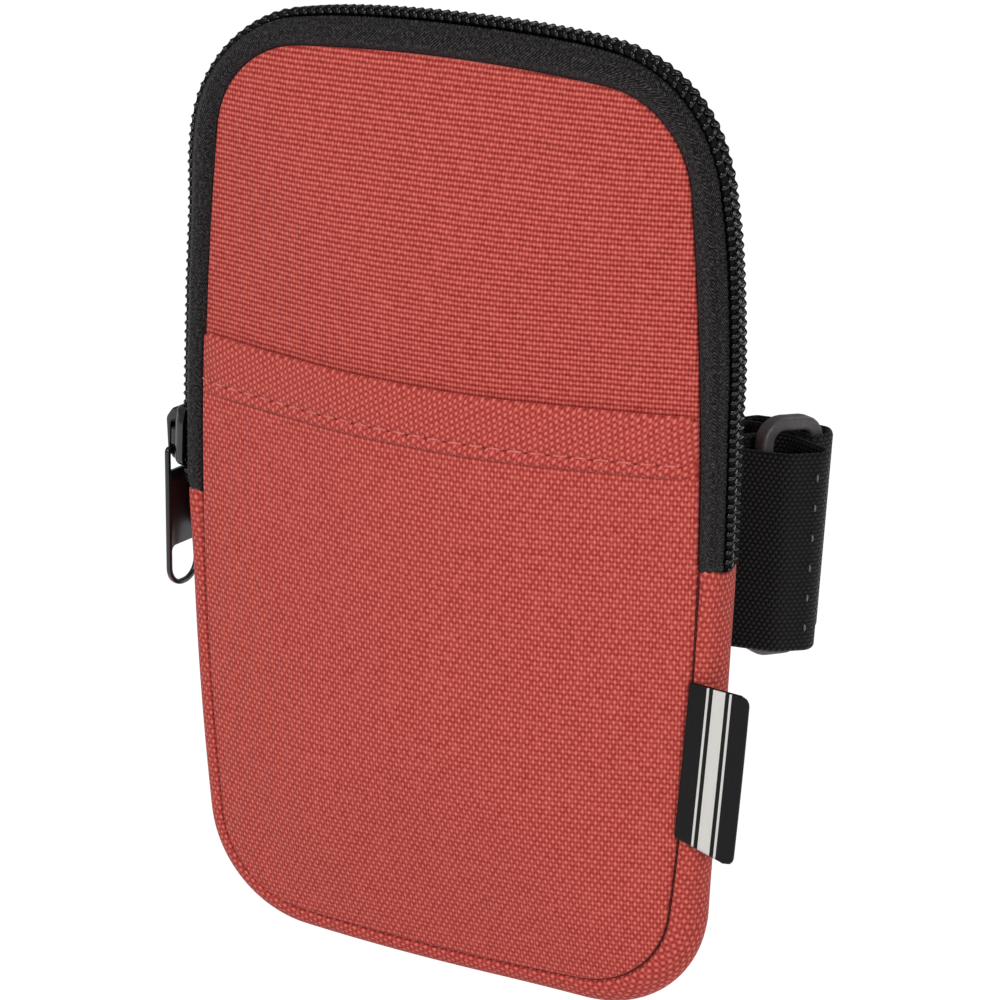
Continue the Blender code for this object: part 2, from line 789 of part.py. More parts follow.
def ring_plan(across, out):
    """Plan point beside the ring: across from its front bar, out from its plane."""
    cos, sin = math.cos(RING_TURN), math.sin(RING_TURN)
    return RING_X + across * cos + out * sin, FRONT_SEAM_Y + RING_DEPTH + across * sin - out * cos


def strap_short_end(paint):
    """From the pouch's back, round the ring's front bar in a loose eye, and sewn to itself."""
    front_y = STRAP_FRONT_Y
    middle = (RING_WIDTH - RING_BAR) / 2
    behind = RING_THICKNESS / 2 + WEBBING / 2 + RING_PLAY
    path = rounded_loop([
        (BAND_START + GAP, front_y, 0),
        (SEWN_END, front_y, EYE_EASE),
        (*ring_plan(-RING_BAR / 2, EYE_REACH - WEBBING / 2), EYE_EASE),
        (*ring_plan(middle, EYE_REACH + WEBBING), EYE_BEND),
        (*ring_plan(middle, 0.0), EYE_EASE),
        (*ring_plan(middle / 2, -behind), EYE_BEND),
        (RING_X - RING_WIDTH + RING_BAR, front_y + WEBBING + EYE_BEND, EYE_EASE),
        (SEWN_END, front_y + WEBBING + GAP, 0),
    ], closed=False)
    return ribbon("strap_short_end", path, WEBBING, WEBBING_WIDTH, paint, SEWN_END)


def strap_band(paint):
    """The long strap: round the bottle, through the ring and folded back on itself."""
    rear = LOOP_RADIUS
    tail = rear - WEBBING - TAIL_SPACE
    left = LOOP_LEFT - LOOP_RADIUS
    span = RING_WIDTH - RING_BAR
    beside = RING_THICKNESS / 2 + WEBBING / 2 + RING_PLAY
    bar = RING_BAR / 2 + WEBBING / 2
    through = span - bar - RING_PLAY
    path = rounded_loop([
        (BAND_START, -rear, 0),
        (left, -rear, LOOP_RADIUS),
        (left, rear, LOOP_RADIUS),
        (FASTENER_END, rear, EYE_EASE),
        (RING_X, rear + BAND_SLACK, EYE_EASE),
        (*ring_plan(span + bar + BAND_SLACK, 0.0), EYE_BEND),
        (*ring_plan(span + RING_BAR / 2, beside), EYE_BEND),
        (*ring_plan(through, beside), WEBBING),
        (*ring_plan(through, -beside), EYE_BEND),
        (FASTENER_END + WEBBING, tail, 0),
        (FASTENER_END, tail, 0),
        (TAIL_END, tail, 0),
    ], closed=False)
    return ribbon("strap_band", path, WEBBING, WEBBING_WIDTH, paint, FASTENER_END)


def fastener(name, y, start, end, paint):
    path = [Vector((start, y)), Vector((end, y))]
    ribbon(name, path, FASTENER, FASTENER_WIDTH, paint)


def side_label(paint):
    """A folded ribbon whose ends are caught in the right front seam."""
    x, level = seam_point(seam_distance(LABEL_TOP, True), 0.0)
    place = Vector((x + GAP, FRONT_SEAM_Y - FABRIC - GAP - LABEL_LAYER, WIDEST_Z + level))
    fold = LABEL_LAYER + GAP
    path = rounded_loop([
        (0, -fold / 2, 0),
        (LABEL_REACH, -fold / 2, fold / 2 - MERGE),
        (LABEL_REACH, fold / 2, fold / 2 - MERGE),
        (0, fold / 2, 0),
    ], turn=math.pi / 4, closed=False)
    rows = [[Vector((point.x, point.y, height)) for point in path]
            for height in (-LABEL_HEIGHT, 0.0)]
    piece = add_object("side_label", lofted_mesh("side_label", rows), paint)
    piece.location = place
    piece.rotation_euler = (0.0, LABEL_DROOP, 0.0)
    thicken(piece, LABEL_LAYER)


for old in list(bpy.data.objects):
    bpy.data.objects.remove(old)
PARTS = new_collection("bottle_pouch")
CUTTERS = new_collection("cutters")

panel("front_panel", FRONT, red_fabric("front_cloth"))
panel("back_panel", BACK, red_fabric("back_cloth"))
front_pocket()
FOAM_DEPTH = FABRIC + GAP
LINING_DEPTH = FOAM_DEPTH + FOAM + GAP
padding("front_foam", FRONT, FOAM_DEPTH, FOAM, white_foam("front_padding"))
padding("back_foam", BACK, FOAM_DEPTH, FOAM, white_foam("back_padding"))
padding("front_lining", FRONT, LINING_DEPTH, LINING, grey_lining("front_lining_cloth"))
padding("back_lining", BACK, LINING_DEPTH, LINING, grey_lining("back_lining_cloth"))
lower_gusset()
gusset_lining()
zipper_tape("zipper_tape_front", FRONT, black_textile("front_tape_weave"))
zipper_tape("zipper_tape_rear", BACK, black_textile("rear_tape_weave"))
zipper_coil("zipper_coil_front", FRONT, black_plastic("front_coil_nylon"))
zipper_coil("zipper_coil_rear", BACK, black_plastic("rear_coil_nylon"))
binding("front_binding", FRONT, black_textile("front_binding_tape"))
binding("back_binding", BACK, black_textile("back_binding_tape"))
SLIDER_SEAT = add_empty("slider_seat", slider_matrix())
slider_body(SLIDER_SEAT, black_enamel("slider_enamel"))
pull_tab(SLIDER_SEAT, black_enamel("puller_enamel"))
side_label(black_textile("label_satin"))
strap_short_end(black_textile("short_webbing"))
strap_band(black_textile("band_webbing"))
strap_ring(black_plastic("ring_plastic"))
BAND_FACE = LOOP_RADIUS - WEBBING / 2
fastener("loop_tape", BAND_FACE - GAP - FASTENER / 2, LOOP_TAPE_START, FASTENER_END,
         black_textile("loop_pile"))
TAIL_FACE = BAND_FACE - TAIL_SPACE
fastener("hook_tape", TAIL_FACE + GAP + FASTENER / 2, FASTENER_END - HOOK_LENGTH, FASTENER_END,
         black_textile("hook_nylon"))
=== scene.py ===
"""Bottle pouch: a padded, zipped pouch whose webbing strap closes round a bottle.

The sections follow the pouch as it is sewn: panels, pocket, padding and lining, zip,
gusset, bindings, slider, label, strap and ring. Lengths are metres; the front faces -Y.
"""
import math

import bmesh
import bpy
import numpy as np
from mathutils import Matrix, Vector


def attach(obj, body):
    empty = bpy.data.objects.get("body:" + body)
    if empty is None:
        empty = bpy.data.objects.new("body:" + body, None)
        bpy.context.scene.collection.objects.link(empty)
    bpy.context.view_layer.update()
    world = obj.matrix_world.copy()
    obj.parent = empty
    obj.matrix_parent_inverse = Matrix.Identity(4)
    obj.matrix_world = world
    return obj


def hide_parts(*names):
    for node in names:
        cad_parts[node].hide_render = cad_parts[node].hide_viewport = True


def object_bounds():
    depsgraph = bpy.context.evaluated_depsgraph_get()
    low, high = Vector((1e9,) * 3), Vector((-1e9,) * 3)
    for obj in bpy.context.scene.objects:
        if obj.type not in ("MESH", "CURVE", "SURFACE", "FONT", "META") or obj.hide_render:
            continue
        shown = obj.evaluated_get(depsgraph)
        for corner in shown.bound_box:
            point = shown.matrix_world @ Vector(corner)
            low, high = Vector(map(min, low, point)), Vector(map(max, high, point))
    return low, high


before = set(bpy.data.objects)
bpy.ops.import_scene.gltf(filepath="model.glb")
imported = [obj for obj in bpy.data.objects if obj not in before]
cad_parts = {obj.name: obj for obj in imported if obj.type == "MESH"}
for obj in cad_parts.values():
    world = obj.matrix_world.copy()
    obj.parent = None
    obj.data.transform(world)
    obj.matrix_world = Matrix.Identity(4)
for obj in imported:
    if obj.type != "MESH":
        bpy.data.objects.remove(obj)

cad_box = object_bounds()

# Front panel
# Polyester canvas, 98.5 mm wide and 164 mm tall between its seams, cut with rounded
# corners and pulled over foam. Its edge rolls round the seam and turns into the pouch.
MM = 0.001
GAP = 0.3 * MM
PANEL_WIDTH = 98.5 * MM
TOP_RISE = 81.5 * MM
BOTTOM_DROP = 82.8 * MM
SIDE_RADIUS = 617 * MM
TOP_RADIUS = 330 * MM
BOTTOM_RADIUS = 480 * MM
TOP_CORNER = 18 * MM
BOTTOM_CORNER = 18 * MM
SPINE = 32 * MM
FRONT, BACK = -1, 1
BULGE = {FRONT: 8.5 * MM, BACK: 5.5 * MM}
INSET = {FRONT: 0.0, BACK: 0.6 * MM}
SEAM_Y = {FRONT: -26.05 * MM, BACK: -16.85 * MM}
GUSSET_DEPTH = SEAM_Y[BACK] - SEAM_Y[FRONT]
WIDEST_Z = 2.8 * MM
CANVAS = 0.5 * MM
ALLOWANCE = 3.6 * MM
ALLOWANCE_LEAN = math.tan(math.radians(19))
ROLL = 0.55 * MM
EDGE = (CANVAS + GAP) / 2
WARP = 0.58 * MM
WEFT = 0.895 * MM
CREASE_X, CREASE_Z, CREASE_LOW = -35 * MM, -66 * MM, -68 * MM
CREASE_WIDTH = 3 * MM
CREASE_RUN, RIDGE_RUN = 10 * MM, 11 * MM
WELD = 1e-6  # points closer than this are one point


def fillet_centre(first, first_reach, second, second_reach):
    """Right-hand point, as a complex number, at both reaches from the two centres."""
    across = second - first
    span = abs(across)
    along = (first_reach**2 - second_reach**2 + span**2) / (2 * span)
    side = math.sqrt(first_reach**2 - along**2)
    spots = [first + across / span * complex(along, sign * side) for sign in (-1, 1)]
    return max(spots, key=lambda spot: spot.real)


def seam_arcs():
    """Ten tangent arcs (centre x, centre z, radius, start, end), anticlockwise from the
    bottom's middle: the bottom, a corner, the side, a corner and the top, then mirrored."""
    bottom = complex(0, BOTTOM_RADIUS - BOTTOM_DROP)
    side = complex(PANEL_WIDTH / 2 - SIDE_RADIUS, 0)
    top = complex(0, TOP_RISE - TOP_RADIUS)
    low = fillet_centre(bottom, BOTTOM_RADIUS - BOTTOM_CORNER,
                        side, SIDE_RADIUS - BOTTOM_CORNER)
    high = fillet_centre(top, TOP_RADIUS - TOP_CORNER, side, SIDE_RADIUS - TOP_CORNER)
    turns = [-math.pi / 2, *np.angle([low - bottom, low - side, high - side, high - top]),
             math.pi / 2]
    centres = [bottom, low, side, high, top]
    radii = [BOTTOM_RADIUS, BOTTOM_CORNER, SIDE_RADIUS, TOP_CORNER, TOP_RADIUS]
    right = [(c.real, c.imag, r, a, b)
             for c, r, a, b in zip(centres, radii, turns, turns[1:])]
    left = [(-x, z, r, math.pi - b, math.pi - a) for x, z, r, a, b in reversed(right)]
    return np.array(right + left)


ARCS = seam_arcs()
ARC_LENGTHS = ARCS[:, 2] * (ARCS[:, 4] - ARCS[:, 3])
ARC_ENDS = np.cumsum(ARC_LENGTHS)
SEAM_LENGTH = ARC_ENDS[-1]


def seam_line(distance, out):
    """(x, level) at distances along the seam and `out` beyond it: the arc's centre plus
    radius + out in the direction start + distance within the arc / radius."""
    wrapped = np.mod(distance, SEAM_LENGTH)
    arc = np.minimum(np.searchsorted(ARC_ENDS, wrapped), len(ARCS) - 1)
    x, z, radius, start = np.moveaxis(ARCS[arc, :4], -1, 0)
    angle = start + (wrapped - ARC_ENDS[arc] + ARC_LENGTHS[arc]) / radius
    return x + (radius + out) * np.cos(angle), z + (radius + out) * np.sin(angle)


def seam_distance(level, right):
    """Distance along the seam to a level on its right or left side."""
    along = ARC_ENDS[1] + SIDE_RADIUS * (np.arcsin(level / SIDE_RADIUS) - ARCS[2, 3])
    return along if right else SEAM_LENGTH - along


def smooth(value, low, high):
    """0 below low, 1 above high, and 3s^2 - 2s^3 between them."""
    share = np.clip((value - low) / (high - low), 0, 1)
    return share * share * (3 - 2 * share)


def stacked(*axes):
    """Points from arrays that broadcast together, one for each axis."""
    return np.stack(np.broadcast_arrays(*axes), -1)


def slack(x, z):
    """Slow waves of cloth a few tenths of a millimetre deep, and a crease that runs up from
    the bottom's left corner: a bell-shaped valley beside a bell-shaped ridge."""
    waves = [(0.16, 90, 35, 0.4), (0.12, -60, 140, 1.9), (0.09, 210, 60, 4.0)]
    slow = sum(a * np.sin(kx * x + kz * z + shift) for a, kx, kz, shift in waves)
    beside = (x - CREASE_X + 0.25 * (z - CREASE_Z)) / CREASE_WIDTH
    crease = np.exp(-beside**2 - ((z - CREASE_LOW) / CREASE_RUN) ** 2)
    ridge = np.exp(-(beside + 1.6) ** 2 - ((z - CREASE_Z) / RIDGE_RUN) ** 2)
    return MM * (slow - 0.55 * crease + 0.3 * ridge)


def padded_face(marks, shares, side, depth, inset):
    """A bulging face. A share of 0 is on the upright ridge in its middle and 1 is on the
    seam; between them the face stands out by bulge x cos(share x quarter turn)."""
    x, level = seam_line(marks[None], -inset)
    shares = shares[:, None]
    ridge = np.clip(level, -SPINE, SPINE)
    x, z = x * shares, ridge + (level - ridge) * shares
    stand = BULGE[side] * np.cos(np.pi / 2 * shares) + slack(x, z) * (1 - shares**6)
    return stacked(x, SEAM_Y[side] + side * (stand - depth), WIDEST_Z + z)


def turned_edge(marks, side, start, out):
    """Rows from a face's edge: a quarter round of the roll's radius, then the allowance
    leaning into the pouch."""
    angles = np.radians([30, 50, 70, 90])[:, None]
    reach = out - INSET[side] - ROLL * (1 - np.sin(angles))
    x, level = seam_line(marks[None], reach)
    round_rows = stacked(x, SEAM_Y[side] - side * (start + ROLL * (1 - np.cos(angles))),
                         WIDEST_Z + level)
    depths = np.linspace(start + ROLL * 1.6, ALLOWANCE, 4)[:, None]
    x, level = seam_line(marks[None], out - INSET[side] - ALLOWANCE_LEAN * depths)
    return np.concatenate([round_rows, stacked(x, SEAM_Y[side] - side * depths,
                                               WIDEST_Z + level)])


def welded(mesh, parts):
    """The parts' faces in one mesh. Points that fall together are merged, and the normals
    are turned outward."""
    bm = bmesh.new()
    for part in parts:
        bm.from_mesh(part)
    bmesh.ops.remove_doubles(bm, verts=bm.verts, dist=WELD)
    bmesh.ops.recalc_face_normals(bm, faces=bm.faces)
    bm.to_mesh(mesh)
    bm.free()
    mesh.shade_smooth()
    return mesh


def skin(name, grid, uv=None):
    """Mesh of quads between neighbouring points of one or more (rows, columns) grids."""
    grid = np.asarray(grid, float)
    rows, columns = grid.shape[-3:-1]
    index = np.arange(grid.size // 3).reshape(-1, rows, columns)
    quads = np.stack([index[:, :-1, :-1], index[:, 1:, :-1],
                      index[:, 1:, 1:], index[:, :-1, 1:]], -1).reshape(-1, 4)
    mesh = bpy.data.meshes.new(name)
    mesh.from_pydata(grid.reshape(-1, 3).tolist(), [], quads.tolist())
    if uv is not None:
        layer = mesh.uv_layers.new(name="cloth")
        corners = np.asarray(uv, float).reshape(-1, 2)[quads.ravel()]
        layer.uv.foreach_set("vector", corners.ravel())
    return welded(mesh, [mesh])


def show(mesh, paint, thickness=0.0):
    """An object for a mesh, in place, with its finish and the thickness of its cloth."""
    made = bpy.data.objects.new(mesh.name, mesh)
    mesh.materials.append(paint)
    bpy.context.collection.objects.link(made)
    if thickness:
        wall = made.modifiers.new("cloth thickness", "SOLIDIFY")
        wall.thickness = thickness
        wall.offset = 0
    return made


def ink(code):
    """sRGB hex to a linear colour."""
    srgb = np.array([int(code[i:i + 2], 16) for i in (1, 3, 5)]) / 255
    linear = np.where(srgb <= 0.04045, srgb / 12.92, ((srgb + 0.055) / 1.055) ** 2.4)
    return (*linear.tolist(), 1.0)


def node(tree, kind, inputs=(), **settings):
    """Adds one node: settings go on it, inputs are values or the nodes that feed it."""
    made = tree.nodes.new("ShaderNode" + kind)
    for key, value in settings.items():
        setattr(made, key, value)
    for key, value in dict(inputs).items():
        if isinstance(value, bpy.types.Node):
            value = value.outputs[0]
        if isinstance(value, bpy.types.NodeSocket):
            tree.links.new(value, made.inputs[key])
        else:
            made.inputs[key].default_value = value
    return made


def finish(name, roughness, **sockets):
    """A material whose shader has its even values set on its own sockets."""
    made = bpy.data.materials.new(name)
    made.use_nodes = True
    shader = made.node_tree.nodes["Principled BSDF"]
    shader.inputs["Roughness"].default_value = roughness
    for socket, value in sockets.items():
        shader.inputs[socket.replace("_", " ")].default_value = value
    return made, made.node_tree, shader


def coloured(tree, factor, stops):
    """A colour ramp of (position, hex) stops over a factor."""
    ramp = node(tree, "ValToRGB", {0: factor})
    bands = ramp.color_ramp.elements
    while len(bands) < len(stops):
        bands.new(0.5)
    for band, (position, code) in zip(bands, stops):
        band.position = position
        band.color = ink(code)
    return ramp


def surfaced(tree, shader, shade, stops, height=None, relief=0.0, strength=0.8):
    """Gives a shader its colour, stops over a shade, and its relief where it has a height."""
    tree.links.new(coloured(tree, shade, stops).outputs[0], shader.inputs["Base Color"])
    if height:
        bump = node(tree, "Bump", {"Height": height, "Distance": relief, "Strength": strength})
        tree.links.new(bump.outputs[0], shader.inputs["Normal"])


def grained(name, roughness, texture, grain, stops, relief=0.0, strength=0.8, **sockets):
    """A finish whose colour, and relief where it has one, follow a single fine texture."""
    made, tree, shader = finish(name, roughness, **sockets)
    place = node(tree, "TexCoord").outputs["Object"]
    height = node(tree, texture, {"Vector": place, **grain})
    surfaced(tree, shader, height, stops, height if relief else None, relief, strength)
    return made


def plain_weave(name, along, up, stops, depth, crown=(0.42, 0.26, 0.26), on_uv=False,
                roughness=0.8, **sockets):
    """Woven cloth. Yarns lie `along` and `up` apart and wander a little. Its height is a
    sum, with the crown's weights, of cos^2 of the row, cos^2 of the column, and row cos x
    column cos for the over and under."""
    wander = 0.4 * math.pi
    made, tree, shader = finish(name, roughness, **sockets)
    place = node(tree, "TexCoord").outputs["UV" if on_uv else "Object"]
    drift = node(tree, "TexNoise", {"Vector": place, "Scale": 130.0, "Detail": 2.0})
    thread = node(tree, "TexNoise", {"Vector": place, "Scale": 0.7 / along, "Detail": 3.0})
    split = node(tree, "SeparateXYZ", {0: place})
    turns = []
    for axis, pitch in ((0, along), (1 if on_uv else 2, up)):
        turn = node(tree, "Math", {0: split.outputs[axis], 1: math.pi / pitch},
                    operation="MULTIPLY")
        bend = node(tree, "Math", {0: drift, 1: wander, 2: turn}, operation="MULTIPLY_ADD")
        turns.append(node(tree, "Math", {0: bend}, operation="COSINE"))
    column, row = turns
    parts = [node(tree, "Math", {0: row, 1: row}, operation="MULTIPLY"),
             node(tree, "Math", {0: column, 1: column}, operation="MULTIPLY"),
             node(tree, "Math", {0: row, 1: column}, operation="MULTIPLY")]
    height = node(tree, "Math", {0: parts[2], 1: crown[2] / 2, 2: crown[2] / 2},
                  operation="MULTIPLY_ADD")
    for part, share in zip(parts[:2], crown[:2]):
        height = node(tree, "Math", {0: part, 1: share, 2: height}, operation="MULTIPLY_ADD")
    # The colour follows this height: painted shade in the pits between the yarns, painted
    # highlight on their tops
    shade = node(tree, "Math", {0: thread, 1: 0.5, 2: height}, operation="MULTIPLY_ADD")
    level = node(tree, "Math", {0: shade, 1: 0.25}, operation="SUBTRACT")
    surfaced(tree, shader, level, stops, height, depth)
    return made


# Dull red cloth, its yarns 0.58 and 0.9 mm apart: pinkish tops that are a painted highlight,
# and dark pits between them that are painted shade
RED_STOPS = ((0.1, "#761814"), (0.4, "#AA372F"), (0.66, "#D06157"), (1.0, "#DE776C"))
RED = dict(stops=RED_STOPS, depth=0.2 * MM, Sheen_Weight=0.08, Sheen_Roughness=0.5,
           Specular_IOR_Level=0.25)
panel_canvas = plain_weave("red polyester canvas", WARP, WEFT, **RED)

ROUND_MARKS = np.linspace(0, SEAM_LENGTH, 421)
FACE_SHARES = np.sin(np.linspace(0, np.pi / 2, 44))


def canvas_panel(name, side):
    """A panel's face, with its rolled edge and allowance."""
    face = padded_face(ROUND_MARKS, FACE_SHARES, side, CANVAS / 2, EDGE + INSET[side] + ROLL)
    edge = turned_edge(ROUND_MARKS, side, CANVAS / 2, -EDGE)
    return skin(name, np.concatenate([face, edge]))


front_cloth = show(canvas_panel("front_cloth", FRONT), panel_canvas, CANVAS)
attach(front_cloth, "pouch")
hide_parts("front_panel")

# Back panel
# The same canvas cut a little smaller, because the gusset narrows behind. It bulges less,
# its edge is rolled and turned in like the front's, and its yarns and colours are the same.
back_canvas = plain_weave("red polyester back", WARP, WEFT, **RED)
back_cloth = show(canvas_panel("back_cloth", BACK), back_canvas, CANVAS)
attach(back_cloth, "pouch")
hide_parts("back_panel")

# Padding and lining
# 2.5 mm open-cell foam behind each panel, and a thin taffeta lining inside it. Both end a
# little inside the seam, where the turned-in allowances hold them.
FOAM = 2.5 * MM
LINING = 0.25 * MM
PAD_SHARE = 0.945
# Chalky off-white with small darker cells
foam_paint = grained("open-cell foam", 0.95, "TexVoronoi", {"Scale": 2600.0},
                     ((0, "#B9B7AE"), (0.6, "#E4E2DA")))
# Smooth grey cloth; 0.2 mm yarns would not show, so they are drawn 0.35 mm apart
LINING_YARN = 0.35 * MM
taffeta = plain_weave("grey taffeta", LINING_YARN, LINING_YARN,
                      ((0.1, "#4A4A4C"), (0.5, "#5E5E61"), (0.9, "#78787C")), 0.05 * MM,
                      roughness=0.6)
PAD_MARKS = np.linspace(0, SEAM_LENGTH, 181)
for side, label in ((FRONT, "front"), (BACK, "back")):
    for layer, depth, thickness, paint in (
            ("foam_pad", CANVAS + GAP, FOAM, foam_paint),
            ("lining_cloth", CANVAS + FOAM + 2 * GAP, LINING, taffeta)):
        shares = PAD_SHARE * np.sin(np.linspace(0, np.pi / 2, 24))
        face = padded_face(PAD_MARKS, shares, side, depth + thickness / 2, EDGE + INSET[side])
        layer_piece = show(skin(f"{label}_{layer}", face), paint, thickness)
        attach(layer_piece, "pouch")
        if layer == "foam_pad":
            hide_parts(f"{label}_foam")
        else:
            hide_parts(f"{label}_lining")

# Slip pocket
# A second layer of the canvas over the lower panel. A strip of the canvas, cut on a slant,
# is folded over its top edge and stitched down with red thread.
POCKET_TOP = 26 * MM
HEM_FOLD = 10.8 * MM
HEM_STITCH = 8.5 * MM
HEM_LIFT = CANVAS + GAP
HEM_SLANT = math.radians(26)
HEM_BEHIND = HEM_FOLD - 4 * MM
HEM_OFF = 0.15 * MM
HEM_TUCK = 1.0 * MM
HEM_ROLL, HEM_ROUND = 0.8 * MM, 0.25 * MM
FOLD_RISE = 0.4 * MM
POCKET_WARP, POCKET_WEFT = 0.577 * MM, 0.925 * MM
BAND_LEVEL = POCKET_TOP - HEM_FOLD
STITCH_PITCH = 3.7 * MM
GROOVE = 0.6 * MM  # how deep and how wide the stitches press their line
POCKET_UNDER = 3 * MM
UNDER_SHARE = 0.997  # layers behind the hem end this much nearer the middle


def face_share(x, level):
    """How far out a point lies from the panel's ridge to its seam: the ratio of its reach
    to the seam's reach, sideways beside the ridge and radially past the ridge's ends."""
    marks = np.linspace(-SEAM_LENGTH / 4, SEAM_LENGTH * 1.25, 6001)
    seam_x, seam_level = seam_line(marks, -EDGE - ROLL)
    right = (seam_x > 0) & (np.abs(marks - SEAM_LENGTH / 4) <= SEAM_LENGTH / 4)
    beside = np.abs(x) / np.interp(level, seam_level[right], seam_x[right])
    past = np.abs(level) - SPINE
    around = np.arctan2(np.maximum(past, 0), np.maximum(np.abs(x), 1e-9))
    shares = beside.copy()
    for up in (-1, 1):
        rim = right & (seam_level * up >= SPINE)
        bearing = np.arctan2(np.abs(seam_level[rim]) - SPINE, seam_x[rim])
        order = np.argsort(bearing)
        reach = np.interp(around, bearing[order],
                          np.hypot(seam_x[rim], np.abs(seam_level[rim]) - SPINE)[order])
        radial = np.hypot(x, past) / reach
        shares = np.where(level * up > SPINE, radial, shares)
    return np.clip(shares, 0, 1)


def pocket_lift(x, level):
    """What the hem adds to the pocket's height: its own layer, a groove along the stitches
    that puckers between them, the roll into its top edge and the one out of its lower edge."""
    groove = np.exp(-((level - POCKET_TOP + HEM_STITCH) / GROOVE) ** 2)
    pucker = 0.75 + 0.25 * np.cos(2 * np.pi * x / STITCH_PITCH)
    rolled = smooth(level, POCKET_TOP - HEM_ROLL, POCKET_TOP)
    tucked = 1 - smooth(level, BAND_LEVEL, BAND_LEVEL + HEM_TUCK)
    return (HEM_LIFT + HEM_OFF - GROOVE * groove * pucker - HEM_ROUND * rolled
            - HEM_TUCK * tucked**2)


def pocket_face(x, level, lift):
    """The panel's own height at each place, the pocket's clearance and half thickness, and
    the lift, which the seams press flat at both ends."""
    share = face_share(x, level)
    stand = BULGE[FRONT] * np.cos(np.pi / 2 * share) + slack(x, level) * (1 - share**6)
    above = GAP + CANVAS / 2 + lift * (1 - share**24)
    return stacked(x, SEAM_Y[FRONT] - stand - above, WIDEST_Z + level)


def joined(name, parts, place):
    """One mesh from several, set in place, with its sharp edges kept."""
    mesh = welded(bpy.data.meshes.new(name), parts)
    mesh.transform(place)
    mesh.set_sharp_from_angle(angle=math.radians(40))
    return mesh


def pocket_patches():
    """Grids of the pocket and of its hem. The pocket's rows fan up from the U of the seam to
    a level line and run on beneath the hem; the hem's rows are level. Outside both, the
    edge rolls over the seam."""
    start, end = (seam_distance(BAND_LEVEL, right) for right in (False, True))
    marks = np.linspace(start - SEAM_LENGTH, end, 401)
    rim_x, rim_level = seam_line(marks, -EDGE - ROLL)
    along = (marks - marks[0]) / (marks[-1] - marks[0])
    top_x = rim_x[0] + (rim_x[-1] - rim_x[0]) * along
    rise = np.linspace(0, 1, 60)[:, None] ** 1.15
    x = rim_x + (top_x - rim_x) * rise
    level = rim_level + (rim_level[-1] - rim_level) * rise
    fan = pocket_face(x, level, 0.0)
    edge = turned_edge(marks, FRONT, -GAP - CANVAS / 2, -EDGE)[::-1]
    beneath = pocket_face(x[-1:] * UNDER_SHARE,
                          level[-1:] + np.linspace(0, POCKET_UNDER, 4)[1:, None], 0.0)
    levels = np.linspace(BAND_LEVEL, POCKET_TOP - FOLD_RISE, 44)
    half = seam_line(seam_distance(levels, True), -EDGE - ROLL)[0]
    band_x = half[:, None] * (2 * along - 1)
    band_level = np.broadcast_to(levels[:, None], band_x.shape)
    band = pocket_face(band_x, band_level, pocket_lift(band_x, band_level))
    rims = [turned_edge(seam_distance(levels, right), FRONT, -GAP - CANVAS / 2,
                        -EDGE).transpose(1, 0, 2) for right in (False, True)]
    return (np.concatenate([edge, fan, beneath]), band,
            np.concatenate([rims[0][:, ::-1], band, rims[1]], 1))


def hem_fold(outer):
    """The fold over the top edge, a half round, and the turned-in hem behind it."""
    last = outer[-1]
    turns = np.radians([30, 60, 90, 120, 150, 180])[:, None]
    over = last[None] + stacked(0, HEM_LIFT / 2 * (1 - np.cos(turns)),
                                FOLD_RISE * np.sin(turns))
    drops = np.linspace(0, HEM_BEHIND, 12)[1:, None]
    x = np.broadcast_to(last[None, :, 0], (len(drops), last.shape[0]))
    level = last[None, :, 2] - WIDEST_Z - drops
    behind = pocket_face(x * UNDER_SHARE, level, 0.0)
    behind[..., 1] = np.maximum(behind[..., 1], over[-1:, :, 1] - 0.1 * MM)
    return np.concatenate([over, behind])


def slanted(grid):
    """The hem's own cloth coordinates: across and up, turned by its slant."""
    across, up = grid[..., 0], grid[..., 2]
    cos, sin = math.cos(HEM_SLANT), math.sin(HEM_SLANT)
    return stacked(across * cos - up * sin, across * sin + up * cos)


lower_patch, band_patch, hem_patch = pocket_patches()
# The panel's red, with lower yarns and stronger crossings, for a flatter, grainier cloth
pocket_canvas = plain_weave("red polyester pocket", POCKET_WARP, POCKET_WEFT,
                            crown=(0.28, 0.26, 0.48), **RED)
pocket_cloth = show(skin("pocket_cloth", lower_patch), pocket_canvas, CANVAS)
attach(pocket_cloth, "pouch")
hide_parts("front_pocket")

# The pocket's cloth, its yarns turned by the strip's slant
hem_canvas = plain_weave("red polyester hem", POCKET_WARP, POCKET_WEFT,
                         crown=(0.26, 0.24, 0.52), on_uv=True, **RED)
fold_patch = np.concatenate([band_patch[-1:], hem_fold(band_patch)])
hem_cloth = show(joined("hem_cloth", [skin("patch", patch, slanted(patch)) for patch in
                                      (hem_patch, fold_patch)], Matrix.Identity(4)),
                 hem_canvas, CANVAS)
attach(hem_cloth, "pouch")


def heading(path):
    """Unit directions along one or more (..., steps, places) paths."""
    ahead = np.gradient(path, axis=-2)
    return ahead / np.linalg.norm(ahead, axis=-1, keepdims=True)


def tube(path, radius, up, sides=6):
    """Round threads along one or more (..., steps, 3) paths. radius may change along them;
    up is any direction that the paths never run in. A circle is swept square to the path."""
    path = np.asarray(path, float)
    ahead = heading(path)
    side = np.cross(ahead, np.broadcast_to(up, path.shape))
    side /= np.linalg.norm(side, axis=-1, keepdims=True)
    top = np.cross(side, ahead)
    angle = np.linspace(0, 2 * np.pi, sides + 1)[:, None]
    radius = np.broadcast_to(radius, path.shape[:-1])[..., None, None]
    return path[..., None, :] + radius * (np.cos(angle) * side[..., None, :]
                                          + np.sin(angle) * top[..., None, :])


